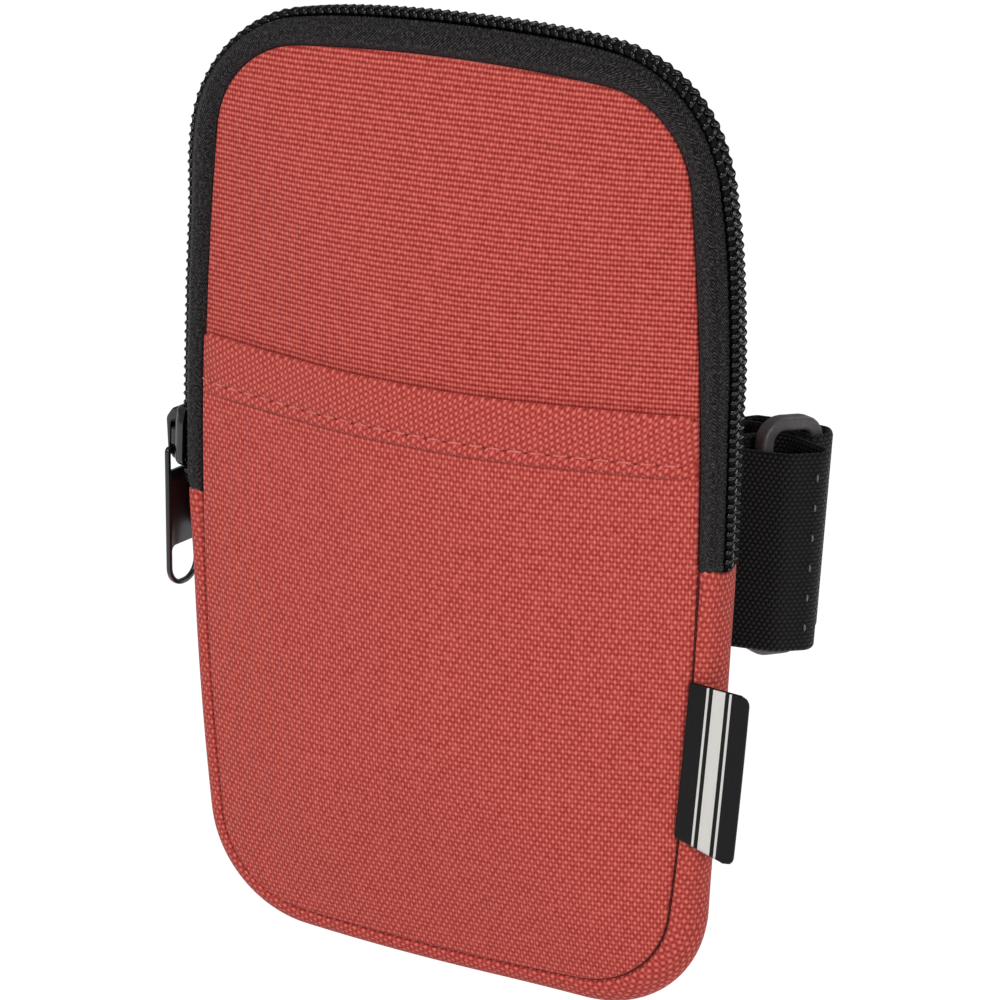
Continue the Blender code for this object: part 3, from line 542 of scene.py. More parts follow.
def stitches(name, centre, ahead, outward, length, thread):
    """Short stitches: each an arc of thread that dives into the cloth at both ends."""
    span = np.linspace(-1, 1, 7)[:, None]
    path = (centre[:, None] + ahead[:, None] * span * length / 2
            + outward[:, None] * thread * (0.55 - 1.5 * span**4))
    radius = thread * np.array([0, 0.8, 1, 1, 1, 0.8, 0])
    return skin(name, tube(path, radius, outward[:, None]))


# Thread a shade lighter than the cloth, mottled by its plies
red_thread = grained("red sewing thread", 0.55, "TexNoise", {"Scale": 2500.0},
                     ((0.3, "#BE463F"), (0.7, "#E37F74")), Sheen_Weight=0.2)
# Painted shade: dark red dots for the shade in the dip where the thread dives
hole_shade_paint = finish("shaded needle holes", 0.9, Base_Color=ink("#6E1E1A"))[0]
SEWN_TO = 48 * MM
hem_level = POCKET_TOP - HEM_STITCH
hem_x = np.arange(-SEWN_TO, SEWN_TO, STITCH_PITCH)
# Shift in pitches, then a stitch's length and its thread's radius
for name, shift, length, thread, paint in (
        ("hem_thread", 0.0, 2.9 * MM, 0.21 * MM, red_thread),
        ("hem_hole_shade", 0.5, 0.7 * MM, 0.16 * MM, hole_shade_paint)):
    x = hem_x + shift * STITCH_PITCH
    places = pocket_face(x, np.full(x.shape, hem_level),
                         pocket_lift(x, hem_level) + CANVAS / 2)
    ahead = heading(places)
    sewn = show(stitches(name, places, ahead, np.cross(ahead, (0, 0, 1)), length, thread),
                paint)
    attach(sewn, "pouch")

# Zip tapes
# Two black polyester tapes in herringbone, each sewn to a panel's edge, rolled tightly over
# the seam and flat beside the coil, which hides its edge.
CHAIN_OUT = 4.3 * MM
CHAIN_DEPTH = 4.2 * MM
CHAIN_TILT = math.radians(7)
COIL_HEIGHT = 1.7 * MM
COIL_WIDTH = 2.3 * MM
CHAIN_SLOT = 1.1 * MM
TAPE = 0.5 * MM
TAPE_SHOULDER = {FRONT: 0.2 * MM, BACK: 1.1 * MM}
TAPE_CORNER = {FRONT: -1.0 * MM, BACK: 0.05 * MM}
TAPE_CROWN = 0.45 * MM
TAPE_NIP = 0.15 * MM
TAPE_END = 1.6 * MM
END_SINK, END_RUN = 1.3 * MM, 3.6 * MM
TWILL, TWILL_STRIPE = 0.6 * MM, 2.3 * MM
TOP_LIFT = 0.2
LIFT_LEVELS = 60 * MM, 78 * MM
# (mm along the zip, mm further out): the stiff chain bows out between corners and cuts them
CHAIN_BOW = [(0, 0), (24, 0.5), (34, 1.1), (48, 1.4), (58, 1.3), (65, 0.7), (70, 0),
             (77, -0.1), (85, 0.4), (93, 1.15), (101, 1.3), (113, 1.1), (130, 0.8),
             (142, 0.45), (150, -0.2), (157, -0.95), (162, -1.1), (167, -0.7), (172, 0.2),
             (176, 0.95), (181, 1.05), (186, 0.65), (191, 0.3), (198, 0.15), (206, 0.1),
             (212, 0), (243, 0)]
ZIP_RIGHT, ZIP_LEFT = -1.3 * MM, -4.3 * MM
ZIP_START = seam_distance(ZIP_RIGHT, True)
ZIP_END = seam_distance(ZIP_LEFT, False)


def eased(points, steps):
    """A smooth curve through points: cubic pieces whose slopes are the neighbours' half
    differences, in equal steps."""
    points = np.asarray(points, float)
    slope = np.gradient(points, axis=0)
    t = np.linspace(0, 1, steps, endpoint=False)[:, None]
    a, b, c, d = (2*t**3 - 3*t**2 + 1, t**3 - 2*t**2 + t, 3*t**2 - 2*t**3, t**3 - t**2)
    pieces = [p * a + m * b + q * c + n * d
              for p, q, m, n in zip(points, points[1:], slope, slope[1:])]
    return np.concatenate([*pieces, points[-1:]])


chain_bow = eased(CHAIN_BOW, 6) * MM


def gusset_face(marks, out, depth):
    """Points `out` beyond the front seam and `depth` behind it. Over the top they stand out
    further, and along the zip they follow the bow of its chain in proportion to out."""
    level = seam_line(marks, 0.0 * marks)[1]
    bow = np.interp(marks - ZIP_START, *chain_bow.T) / (CHAIN_OUT + COIL_HEIGHT / 2)
    lifted = np.where(out > 0, out * (1 + TOP_LIFT * smooth(level, *LIFT_LEVELS) + bow), out)
    x, level = seam_line(marks, lifted)
    return stacked(x, SEAM_Y[FRONT] + depth, WIDEST_Z + level)


def chain_place(across, out):
    """(out, depth) of a place in the chain's own frame, which is tilted 7 degrees."""
    cos, sin = math.cos(CHAIN_TILT), math.sin(CHAIN_TILT)
    return np.stack([CHAIN_OUT + out * cos - across * sin,
                     CHAIN_DEPTH + across * cos + out * sin], -1)


def lengths(points):
    """Distance along a path at each of its points."""
    steps = np.linalg.norm(np.diff(points, axis=0), axis=1)
    return np.concatenate([[0], np.cumsum(steps)])


def tape_section(side):
    """Profile of a tape: its allowance, the tight roll out of the seam, the flat stretch
    that faces forward or backward, the shoulder, and the edge under the coil."""
    half = (TAPE + GAP) / 2
    plane = 0.0 if side == FRONT else GUSSET_DEPTH
    seam = -INSET[side]
    under = -(COIL_HEIGHT / 2 + TAPE / 2 - TAPE_NIP)
    coil_edge = CHAIN_SLOT / 2 + COIL_WIDTH
    flat = chain_place(np.array([coil_edge + TAPE_SHOULDER[side], coil_edge,
                                 CHAIN_SLOT / 2]) * side, np.full(3, under))
    rise = flat[0, 0] - seam
    turned = [(half - ALLOWANCE_LEAN * d + seam, plane - side * d)
              for d in (ALLOWANCE, ALLOWANCE * 2 / 3, ALLOWANCE / 3, 2 * half)]
    points = turned + [
        (seam + half + 0.25 * MM, plane + side * TAPE_CROWN * 0.1),
        (seam + rise * 0.33, plane + side * TAPE_CROWN * 0.75),
        (seam + rise * 0.66, plane + side * TAPE_CROWN),
        (flat[0, 0] + TAPE_CORNER[side], plane + side * TAPE_CROWN * 0.1),
        *flat]
    return eased(points, 5)


def tape_grid(section, marks):
    """(grid, uv) of a section of (out, depth) points carried along the seam's marks. Its
    last 3 mm at each end sink 1.3 mm towards the pouch's middle, under the gusset."""
    from_end = np.minimum(marks - marks[0], marks[-1] - marks)
    sunk = END_SINK * (1 - smooth(from_end, GAP, END_RUN))
    inward = np.sign(GUSSET_DEPTH / 2 - section[:, 1:]) * (section[:, :1] > GAP)
    grid = gusset_face(marks[None], section[:, :1] - 0.5 * sunk * np.abs(inward),
                       section[:, 1:] + sunk * inward)
    return grid, stacked(marks[None], lengths(section)[:, None])


def herringbone(name, pitch, stripe, **sockets):
    """Twill lines whose slant turns over at each stripe: the wave of
    (length + |across folded into stripes|) / pitch."""
    made, tree, shader = finish(name, 0.62, **sockets)
    place = node(tree, "TexCoord").outputs["UV"]
    split = node(tree, "SeparateXYZ", {0: place})
    folded = node(tree, "Math", {0: split.outputs[1], 1: stripe}, operation="PINGPONG")
    slant = node(tree, "Math", {0: folded, 1: 1.7, 2: split.outputs[0]},
                 operation="MULTIPLY_ADD")
    turn = node(tree, "Math", {0: slant, 1: 2 * math.pi / pitch}, operation="MULTIPLY")
    wave = node(tree, "Math", {0: turn}, operation="SINE")
    fibre = node(tree, "TexNoise", {"Vector": place, "Scale": 2100.0, "Detail": 3.0,
                                    "Roughness": 0.65})
    height = node(tree, "Math", {0: fibre, 1: 9.0, 2: wave}, operation="MULTIPLY_ADD")
    shade = node(tree, "MapRange", {0: height, 1: 2.3, 2: 6.7})
    # Colour over the twill's height: painted shade in its valleys, a painted grey glint on its
    # lines
    surfaced(tree, shader, shade, ((0.15, "#030303"), (0.5, "#151314"), (0.95, "#575254")),
             height, 0.12 * MM)
    return made


# Black cloth with a painted grey glint on its slanting lines and painted shade between them.
# The real twill is 0.3 mm apart; it is drawn at 0.6 mm so that it shows
tape_twill = herringbone("black herringbone tape", TWILL, TWILL_STRIPE,
                         Specular_IOR_Level=0.15, Sheen_Weight=0.06, Sheen_Roughness=0.4)
TAPE_MARKS = np.linspace(ZIP_START - TAPE_END, ZIP_END + TAPE_END, 365)
for side, node_name in ((FRONT, "front"), (BACK, "rear")):
    section = tape_section(side)
    tape = show(skin(f"{node_name}_tape", *tape_grid(section, TAPE_MARKS)), tape_twill, TAPE)
    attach(tape, "pouch")
    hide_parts(f"zipper_tape_{node_name}")

# Zip coils
# Two rows of black nylon monofilament, 1.64 mm to a turn, each turn a flat loop whose head
# locks between the other row's. A lockstitch holds every leg down to the tape.
COIL_PITCH = 1.64 * MM
FILAMENT = 0.45 * MM
CORD = 0.72 * MM
LOCK_THREAD = 0.17 * MM
COIL_END = 0.6 * MM  # from the zip's end to the first turn
TURN_MIDDLE, TURN_REACH = 1.35 * MM, 1.15 * MM
TURN_SQUARENESS = 0.6
TURN_OUT = 0.02 * MM
CORD_ACROSS, CORD_OUT = 1.65 * MM, -0.05 * MM
LOCK_ACROSS, LOCK_UNDER = 2.0 * MM, 0.3 * MM
LOCK_SWING, LOCK_RISE = 0.12 * MM, 0.14 * MM
# Deep black and slick: a narrow highlight on each turn
nylon = finish("black nylon monofilament", 0.12, Base_Color=ink("#020202"),
               Specular_IOR_Level=0.42)[0]
# Dull black, so that the gaps between the turns stay dark
lock_thread = finish("black lockstitch thread", 0.7, Base_Color=ink("#050505"),
                     Specular_IOR_Level=0.2)[0]
turn_count = round(float(ZIP_END - ZIP_START - 2 * COIL_END) / COIL_PITCH)
turns = np.linspace(0, turn_count, turn_count * 10 + 1)
for side, row_name in ((FRONT, "front"), (BACK, "rear")):
    angle = 2 * np.pi * turns
    lag = 0.0 if side == FRONT else 0.5
    marks = ZIP_START + COIL_END + (turns + lag * (turns < turn_count)) * COIL_PITCH
    swing, lift = (np.sign(wave) * np.abs(wave) ** TURN_SQUARENESS
                   for wave in (np.cos(angle), np.sin(angle)))
    across = side * (TURN_MIDDLE + TURN_REACH * swing)
    out = (COIL_HEIGHT / 2 - FILAMENT) * lift + TURN_OUT
    section = chain_place(across, out)
    path = gusset_face(marks, section[:, 0], section[:, 1])
    ahead = gusset_face(marks + 1e-4, section[:, 0], section[:, 1]) - path
    radius = np.full(len(turns), FILAMENT)
    radius[[0, -1]] = 0
    coil = show(skin(f"{row_name}_coil", tube(path, radius, ahead)), nylon)
    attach(coil, "pouch")
    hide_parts(f"zipper_coil_{row_name}")
    core = chain_place(side * CORD_ACROSS, CORD_OUT)
    path = gusset_face(np.linspace(ZIP_START, ZIP_END, 361)[1:-1], core[:1], core[1:])
    cord = show(skin(f"{row_name}_cord", tube(path, CORD, (0.0, 1.0, 0.0))), lock_thread)
    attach(cord, "pouch")
    sewn = np.linspace(0, turn_count, turn_count * 6 + 1)
    wave = np.cos(2 * np.pi * (sewn - 0.25))
    place = chain_place(np.full(len(sewn), side * LOCK_ACROSS) + LOCK_SWING * wave,
                        (COIL_HEIGHT / 2 - LOCK_UNDER) + LOCK_RISE * wave)
    path = gusset_face(ZIP_START + COIL_END + (sewn + lag) * COIL_PITCH,
                       place[:, 0], place[:, 1])
    thread = show(skin(f"{row_name}_lockstitch",
                       tube(path, LOCK_THREAD, (0.0, 1.0, 0.0), 4)), lock_thread)
    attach(thread, "pouch")

# Lower gusset
# One strip of the canvas round the bottom and up both sides, standing 4.4 mm out, its ends
# folded under and topstitched over the zip's ends. A taffeta strip lines it.
GUSSET_BULGE = 4.4 * MM
GUSSET_STEPS = 421
GUSSET_WEFT = 0.93 * MM
SQUARE_RUN = 16 * MM
LOOSE_RUN = 17 * MM
END_BLEND = 4 * MM
SEAM_STITCH, SEAM_STEP = 1.85 * MM, 1.9 * MM
SEAM_THREAD = 0.16 * MM
SEAM_SUNK = 0.25 * MM
gusset_from = ZIP_END + GAP
gusset_to = SEAM_LENGTH + ZIP_START - GAP


def gusset_section(inset, marks):
    """(out, depth) rows across: a bulge of 4.4 mm x sine of the way across, squarer near
    the zip's ends and looser by a third round the bottom's right corner."""
    from_end = np.minimum(marks - gusset_from, gusset_to - marks)
    near_end = 1 - smooth(from_end, 0, SQUARE_RUN)
    angle = np.linspace(0, np.pi, 29)[1:-1, None]
    power = 0.88 - 0.4 * near_end
    corner = SEAM_LENGTH + (ARC_ENDS[0] + ARC_ENDS[1]) / 2
    loose = 1 + 0.36 * np.exp(-((marks - corner) / LOOSE_RUN) ** 2)
    out = (GUSSET_BULGE * loose - inset) * np.sin(angle) ** power - INSET[BACK] * angle / np.pi
    depth = GUSSET_DEPTH / 2 - (GUSSET_DEPTH / 2 - inset) * np.cos(angle) + 0 * near_end
    return out, depth


def end_reach(across):
    """How far the folded ends reach over the tape: a shallow curve across the gusset that is
    lowest a third of the way back, 0.9 mm at the front seam and 2 mm at the rear."""
    share = across - 0.33
    return MM * np.where(share < 0, 0.9 * (share / 0.33) ** 2, 2.0 * (share / 0.67) ** 2)


marks = np.linspace(gusset_from, gusset_to, GUSSET_STEPS)
out, depth = gusset_section(0.0, marks[None])
half = (TAPE + GAP) / 2
# Its long edges turn in with the seams
turned = np.array([ALLOWANCE, ALLOWANCE * 2 / 3, ALLOWANCE / 3, 2 * half])[:, None]
front_turn = half - ALLOWANCE_LEAN * turned
out = np.concatenate([np.broadcast_to(front_turn, (4, len(marks))), out,
                      np.broadcast_to(front_turn[::-1] - INSET[BACK], (4, len(marks)))])
depth = np.concatenate([np.broadcast_to(turned, (4, len(marks))), depth,
                        np.broadcast_to(GUSSET_DEPTH - turned[::-1], (4, len(marks)))])
middle_column = np.stack([out[:, len(marks) // 2], depth[:, len(marks) // 2]], -1)
width_run = lengths(middle_column)
# Both ends are folded back beneath themselves by 3 mm
tuck = np.array([3.0, 2.0, 1.0, 0.0]) * MM
marks = np.concatenate([marks[0] + tuck, marks, marks[-1] - tuck[::-1]])
fold = np.array([0.55, 0.55, 0.5, 0.3]) * MM
under = np.concatenate([fold, np.zeros(GUSSET_STEPS), fold[::-1]])
out, depth = (np.concatenate([part[:, :1]] * 4 + [part] + [part[:, -1:]] * 4, 1)
              for part in (out, depth))
near_start = 1 - smooth(marks - gusset_from, 0, END_BLEND)
near_stop = 1 - smooth(gusset_to - marks, 0, END_BLEND)
across = np.clip(depth / GUSSET_DEPTH, 0, 1)
reach = end_reach(across)
grid = gusset_face(marks[None] + reach * (near_stop - near_start),
                   out - under * np.sin(np.pi * across) ** 0.3,
                   depth + under * np.cos(np.pi * across) * (out > front_turn[-1]))
uv = stacked(width_run[:, None], marks[None])
# The panel's red again, its weft running round the pouch
gusset_canvas = plain_weave("red polyester gusset", WARP, GUSSET_WEFT, on_uv=True,
                            crown=(0.28, 0.22, 0.5), **RED)
gusset_cloth = show(skin("gusset_cloth", grid, uv), gusset_canvas, CANVAS)
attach(gusset_cloth, "pouch")
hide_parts("lower_gusset")

# Dark maroon thread, a fine dotted line in the seam's groove; its dark colour is partly
# painted shade of the groove
seam_thread_shade = finish("maroon seam thread and groove shade", 0.8, Base_Color=ink("#541A16"))[0]
places = np.arange(gusset_from + 1 * MM, gusset_to - 1 * MM, SEAM_STEP)
centre, ahead = (stacked(x, SEAM_Y[FRONT] + SEAM_SUNK, WIDEST_Z + level) for x, level in
                 (seam_line(places, 0.0), seam_line(places + 0.1 * MM, 0.0)))
ahead = (ahead - centre) / np.linalg.norm(ahead - centre, axis=1, keepdims=True)
sewn = show(stitches("seam_stitches_shade", centre, ahead, np.broadcast_to((0, -1, 0), ahead.shape),
                     SEAM_STITCH, SEAM_THREAD), seam_thread_shade)
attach(sewn, "pouch")

lining_inset = (CANVAS + LINING) / 2 + GAP
marks = np.linspace(gusset_from, gusset_to, 181)
out, depth = gusset_section(lining_inset, marks[None])
grid = gusset_face(np.broadcast_to(marks[None], out.shape), out, depth)
gusset_inner = show(skin("gusset_lining_cloth", grid), taffeta, LINING)
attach(gusset_inner, "pouch")
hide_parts("gusset_lining")

# Seam bindings
# Black woven tape, folded over each seam's turned-in allowances and sewn through them, so
# that no raw edge shows inside the pouch.
BINDING = 0.25 * MM
BINDING_COVER = 2.6 * MM
BINDING_YARN = 0.4 * MM
BINDING_FLAT, BINDING_ROUND = 0.9 * MM, 0.15 * MM  # how near its fold it bends
# Dull black cloth, its 0.25 mm yarns drawn 0.4 mm apart
binding_tape = plain_weave("black binding tape", BINDING_YARN, BINDING_YARN,
                           ((0.1, "#121112"), (0.5, "#1C1B1C"), (0.9, "#2C2A2B")), 0.05 * MM,
                           on_uv=True)
for side, label in ((FRONT, "front"), (BACK, "back")):
    half = CANVAS + GAP * 1.5 + BINDING / 2
    close = ALLOWANCE + GAP + BINDING / 2
    profile = np.array([(-half, close - BINDING_COVER), (-half, close - BINDING_FLAT),
                        (-half * 0.8, close - BINDING_ROUND), (0, close),
                        (half * 0.8, close - BINDING_ROUND), (half, close - BINDING_FLAT),
                        (half, close - BINDING_COVER)])
    x, level = seam_line(PAD_MARKS[None],
                         profile[:, :1] - ALLOWANCE_LEAN * profile[:, 1:] - INSET[side])
    grid = stacked(x, SEAM_Y[side] - side * profile[:, 1:], WIDEST_Z + level)
    uv = stacked(PAD_MARKS[None], lengths(profile)[:, None])
    bound = show(skin(f"{label}_binding_tape", grid, uv), binding_tape, BINDING)
    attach(bound, "pouch")
    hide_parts(f"{label}_binding")

# Slider
# Die-cast zinc with black enamel: a face plate whose flanges hold the two rows, a plate
# behind the tapes, the post between them, and a bridge with a lock's housing under it.
SLIDER_LEVEL = 5 * MM
SLIDER_LENGTH = 11 * MM
SLIDER_WIDTH = 8.2 * MM
SLIDER_NOSE = 6.9 * MM  # across its upper end
SLIDER_CORNER = 1.6 * MM
SLIDER_PLAY = 0.6 * MM
SLIDER_SHIFT = 0.2 * MM
SLIDER_WALL = 0.85 * MM
SLIDER_END = 0.3 * MM
BASE_WIDTH = 6 * MM
HOUSING_WIDTH = 6.4 * MM
HOUSING_LOW, HOUSING_HIGH = -2.1 * MM, 1.5 * MM
HOUSING_DEPTH = 1.6 * MM
HOUSING_CORNER, HOUSING_ROUND = 0.5 * MM, 0.25 * MM
POST_WIDTH = 0.5 * MM
POST_TOP = -1.1 * MM
PLATE = 0.8 * MM
TRAVEL_MIDDLE = 18 * MM
CROWN_LENGTH = 9.8 * MM
CROWN_WIDTH = 4.6 * MM
CROWN_RISE = 2.6 * MM
CROWN_WALL = 1.05 * MM
CROWN_FOOT = 1 * MM
EDGE_ROUND = 0.22 * MM


def cornered(corners, closed=True, turn=math.radians(9)):
    """A path through (x, y, radius) corners: at each a circle of that radius touches both
    sides, and its arc from one touching point to the other takes the corner's place."""
    points = []
    for index, (x, y, radius) in enumerate(corners):
        here = complex(x, y)
        if radius == 0 or (not closed and index in (0, len(corners) - 1)):
            points.append([here])
            continue
        before, after = (complex(*corners[(index + step) % len(corners)][:2]) - here
                         for step in (-1, 1))
        before, after = before / abs(before), after / abs(after)
        half = abs(np.angle(after / before)) / 2
        centre = here + (before + after) / abs(before + after) * radius / math.sin(half)
        first = here + before * radius / math.tan(half) - centre
        swing = np.angle((here + after * radius / math.tan(half) - centre) / first)
        steps = max(2, math.ceil(abs(swing) / turn))
        points.append(centre + first * np.exp(1j * swing * np.linspace(0, 1, steps + 1)))
    joined = np.concatenate(points)
    return np.stack([joined.real, joined.imag], -1)


def plate(loops, thickness, edge, place):
    """Vertices and faces of a flat plate: one outline with any holes, filled, as thick as
    asked, its edges rounded by `edge`. place takes its x, y and normal into the piece."""
    drawn = bpy.data.curves.new("plate", "CURVE")
    drawn.dimensions = "2D"
    drawn.fill_mode = "BOTH"
    drawn.extrude = thickness / 2 - edge
    drawn.bevel_depth = edge
    drawn.bevel_resolution = 2
    drawn.offset = -edge
    for loop in loops:
        line = drawn.splines.new("POLY")
        line.points.add(len(loop) - 1)
        flat = np.concatenate([loop, np.zeros((len(loop), 1)), np.ones((len(loop), 1))], 1)
        line.points.foreach_set("co", flat.ravel())
        line.use_cyclic_u = True
    holder = bpy.data.objects.new("plate", drawn)
    bpy.context.collection.objects.link(holder)
    bpy.context.view_layer.update()
    made = bpy.data.meshes.new_from_object(holder.evaluated_get(
        bpy.context.evaluated_depsgraph_get()))
    bpy.data.objects.remove(holder)
    bpy.data.curves.remove(drawn)
    made.transform(place)
    return made


seat_mark = seam_distance(SLIDER_LEVEL, False)
seat_out = CHAIN_OUT + SLIDER_SHIFT
seat_place = gusset_face(seat_mark, np.array(seat_out), CHAIN_DEPTH)
chord = math.asin((SLIDER_LEVEL + TRAVEL_MIDDLE) / (SIDE_RADIUS + seat_out))
SEAT = (Matrix.Translation(seat_place) @ Matrix.Rotation(chord, 4, "Y")
        @ Matrix.Rotation(math.pi - CHAIN_TILT, 4, "Z"))
FACE_IN = COIL_HEIGHT / 2 + SLIDER_PLAY
FACE_OUT = FACE_IN + PLATE
BASE_IN = -(COIL_HEIGHT / 2 + GAP + TAPE + SLIDER_PLAY)
FLANGE_IN = -(COIL_HEIGHT / 2 + GAP - SLIDER_PLAY)
half, wide, nose = SLIDER_LENGTH / 2, SLIDER_WIDTH / 2, SLIDER_NOSE / 2
waist = SLIDER_LENGTH / 4
shield = cornered([(wide, -half, SLIDER_CORNER), (wide, waist, SLIDER_CORNER),
                   (nose, half, SLIDER_CORNER / 2), (-nose, half, SLIDER_CORNER / 2),
                   (-wide, waist, SLIDER_CORNER), (-wide, -half, SLIDER_CORNER)])
back = BASE_WIDTH / 2
base = cornered([(back, -half, SLIDER_CORNER), (back, half, SLIDER_CORNER),
                 (-back, half, SLIDER_CORNER), (-back, -half, SLIDER_CORNER)])
high, top = FACE_OUT + CROWN_RISE, CROWN_LENGTH / 2
root = FACE_OUT - PLATE / 2
# (out, up, radius): over the bridge from its upper root down to its foot, and back inside
bridge = cornered([(root, top, 0), (FACE_OUT + 1.0 * MM, top, 1.2 * MM),
                   (high, 2.7 * MM, 1.8 * MM), (high - 0.5 * MM, -2.9 * MM, 1.4 * MM),
                   (FACE_OUT + 0.9 * MM, -top, 0.8 * MM), (root, -top, 0),
                   (root, -top + CROWN_FOOT, 0),
                   (FACE_OUT + 1.45 * MM, -top + CROWN_FOOT, 0.3 * MM),
                   (FACE_OUT + 1.5 * MM, -2.2 * MM, 0.4 * MM),
                   (high - CROWN_WALL, 2.1 * MM, 1.1 * MM), (root, 3.1 * MM, 0)])
lock = HOUSING_WIDTH / 2
housing = cornered([(-lock, HOUSING_LOW, HOUSING_CORNER),
                    (lock, HOUSING_LOW, HOUSING_CORNER),
                    (lock, HOUSING_HIGH, HOUSING_CORNER),
                    (-lock, HOUSING_HIGH, HOUSING_CORNER)])
slim, foot = POST_WIDTH / 2, -half + SLIDER_END
post = cornered([(-slim, foot, 0), (slim, foot, 0), (slim, POST_TOP, 0),
                 (-slim, POST_TOP, 0)])
# Plates lie flat on the slider's face, and the bridge's plate stands on edge
OUTWARD = Matrix(((0, 0, 1, 0), (1, 0, 0, 0), (0, 1, 0, 0), (0, 0, 0, 1)))
SIDEWAYS = Matrix(((1, 0, 0, 0), (0, 0, -1, 0), (0, 1, 0, 0), (0, 0, 0, 1)))


def face_shell():
    """The domed face plate and its flanges. Its section is an arch between two flattened
    ovals (cosine to a power across, sine to a power outward), as wide at each level as
    the shield's outline; at both ends the two ovals close on each other."""
    right = shield[shield[:, 0] > 0]
    right = right[np.argsort(right[:, 1])]
    ends = SLIDER_END * (1 - np.cos(np.linspace(0, np.pi / 2, 5)))
    z = np.concatenate([-half + ends, np.linspace(-half, half, 27)[2:-2], half - ends[::-1]])
    width = np.interp(z, right[:, 1], right[:, 0])
    open_by = np.sqrt(np.clip((half - np.abs(z)) / SLIDER_END, 0, 1))
    turn = np.linspace(0, np.pi, 31)[:, None]
    across, rise = np.cos(turn), np.abs(np.sin(turn))
    outer = np.stack([FLANGE_IN + (FACE_OUT - FLANGE_IN) * rise**0.62 + 0 * width,
                      np.sign(across) * np.abs(across) ** 0.62 * width], -1)
    inner = np.stack([FLANGE_IN + (FACE_IN - FLANGE_IN) * rise**0.4 + 0 * width,
                      np.sign(across) * np.abs(across) ** 0.45 * (width - SLIDER_WALL)], -1)
    middle = (outer + inner) / 2
    outer, inner = (middle + (face - middle) * open_by[:, None] for face in (outer, inner))
    section = np.concatenate([outer, inner[::-1], outer[:1]])
    return skin("shell", stacked(section[..., 0], section[..., 1], z[None]))


slider_parts = [
    face_shell(),
    plate([base], PLATE, EDGE_ROUND,
          Matrix.Translation((BASE_IN - PLATE / 2, 0, 0)) @ OUTWARD),
    plate([bridge], CROWN_WIDTH, 0.3 * MM, SIDEWAYS),
    plate([housing], HOUSING_DEPTH, HOUSING_ROUND,
          Matrix.Translation((FACE_OUT - HOUSING_ROUND, 0, 0)) @ OUTWARD),
    plate([post], FACE_IN - BASE_IN + 0.6 * MM, 0.1 * MM,
          Matrix.Translation(((FACE_IN + BASE_IN) / 2, 0, 0)) @ OUTWARD)]


def enamelled(name, code, roughness):
    """Baked enamel on a zinc casting: a dark coat that levels out, its colour specked with
    dust.
    """
    made, tree, shader = finish(name, roughness, Coat_Weight=0.25, Coat_Roughness=0.15,
                                Specular_IOR_Level=0.5)
    place = node(tree, "TexCoord").outputs["Object"]
    orange_peel = node(tree, "TexNoise", {"Vector": place, "Scale": 900.0, "Detail": 2.0})
    dust = node(tree, "TexNoise", {"Vector": place, "Scale": 3200.0, "Detail": 4.0})
    surfaced(tree, shader, dust, ((0.35, code[0]), (0.7, code[1])), orange_peel,
             0.05 * MM, 0.35)
    return made


# Nearly black and half glossy, with a soft waviness in its highlights
zinc_enamel = enamelled("black enamel on zinc", ("#060506", "#111011"), 0.26)
slider_cast = show(joined("slider_casting", slider_parts, SEAT), zinc_enamel)
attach(slider_cast, "slider")
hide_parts("slider_body")

# Puller
# The same casting and enamel: a flat tab whose square eye goes round the bridge's foot,
# with a long finger hole above its round end.
PULL_LENGTH = 27.2 * MM
PULL_WIDTH = 8.6 * MM
PULL_THICKNESS = 0.9 * MM
PULL_WEB = 0.9 * MM
PULL_EYE = 3.7 * MM
PULL_HOLE = 7.2 * MM
EYE_CORNER = 0.6 * MM
TAB_CORNER = 1 * MM
bar_place = SEAT @ Vector((FACE_OUT + GAP + PULL_THICKNESS / 2, 0,
                           -CROWN_LENGTH / 2 + CROWN_FOOT + 2 * GAP + PULL_WEB / 2))
PIVOT = Matrix.Translation(bar_place) @ Matrix.Rotation(math.pi - CHAIN_TILT, 4, "Z")
wide, top = PULL_WIDTH / 2, PULL_WEB / 2
end, hole = top - PULL_LENGTH, wide - PULL_WEB
low = end + PULL_WEB
tab = cornered([(wide, top, TAB_CORNER), (-wide, top, TAB_CORNER),
                (-wide, end, wide - GAP), (wide, end, wide - GAP)])
eye = cornered([(hole, -top, EYE_CORNER), (-hole, -top, EYE_CORNER),
                (-hole, -top - PULL_EYE, EYE_CORNER), (hole, -top - PULL_EYE, EYE_CORNER)])
finger = cornered([(hole, low + PULL_HOLE, TAB_CORNER), (-hole, low + PULL_HOLE, TAB_CORNER),
                   (-hole, low, hole - GAP), (hole, low, hole - GAP)])
puller = show(joined("puller_tab", [plate([tab, eye, finger], PULL_THICKNESS, 0.2 * MM,
                                          OUTWARD)], PIVOT), zinc_enamel)
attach(puller, "puller")
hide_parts("pull_tab")

# Side label
# A black satin ribbon folded in two, its ends caught in the right seam. Three plain bars
# are woven into it in white, a narrow one on each side of a wide one.
LABEL_TOP = -20.9 * MM
LABEL_HEIGHT = 29 * MM
LABEL_REACH = 11 * MM
LABEL_LAYER = 0.3 * MM
LABEL_DROOP = math.radians(4)
LABEL_CORNER = 1.6 * MM
LABEL_SAG, LABEL_CURL = 2.8 * MM, 0.35 * MM
BARS_AT = 5.6 * MM  # the wide bar's middle, from the seam
WIDE_BAR = -1.0, 1.15 * MM  # distances from that middle, the first below any
NARROW_BARS = 1.9 * MM, 2.35 * MM
SATIN_FLOAT = 0.22 * MM
label_x, label_level = seam_line(seam_distance(LABEL_TOP, True), 0.0)
label_place = Vector((label_x + GAP, SEAM_Y[FRONT] - CANVAS - GAP - LABEL_LAYER,
                      WIDEST_Z + label_level))


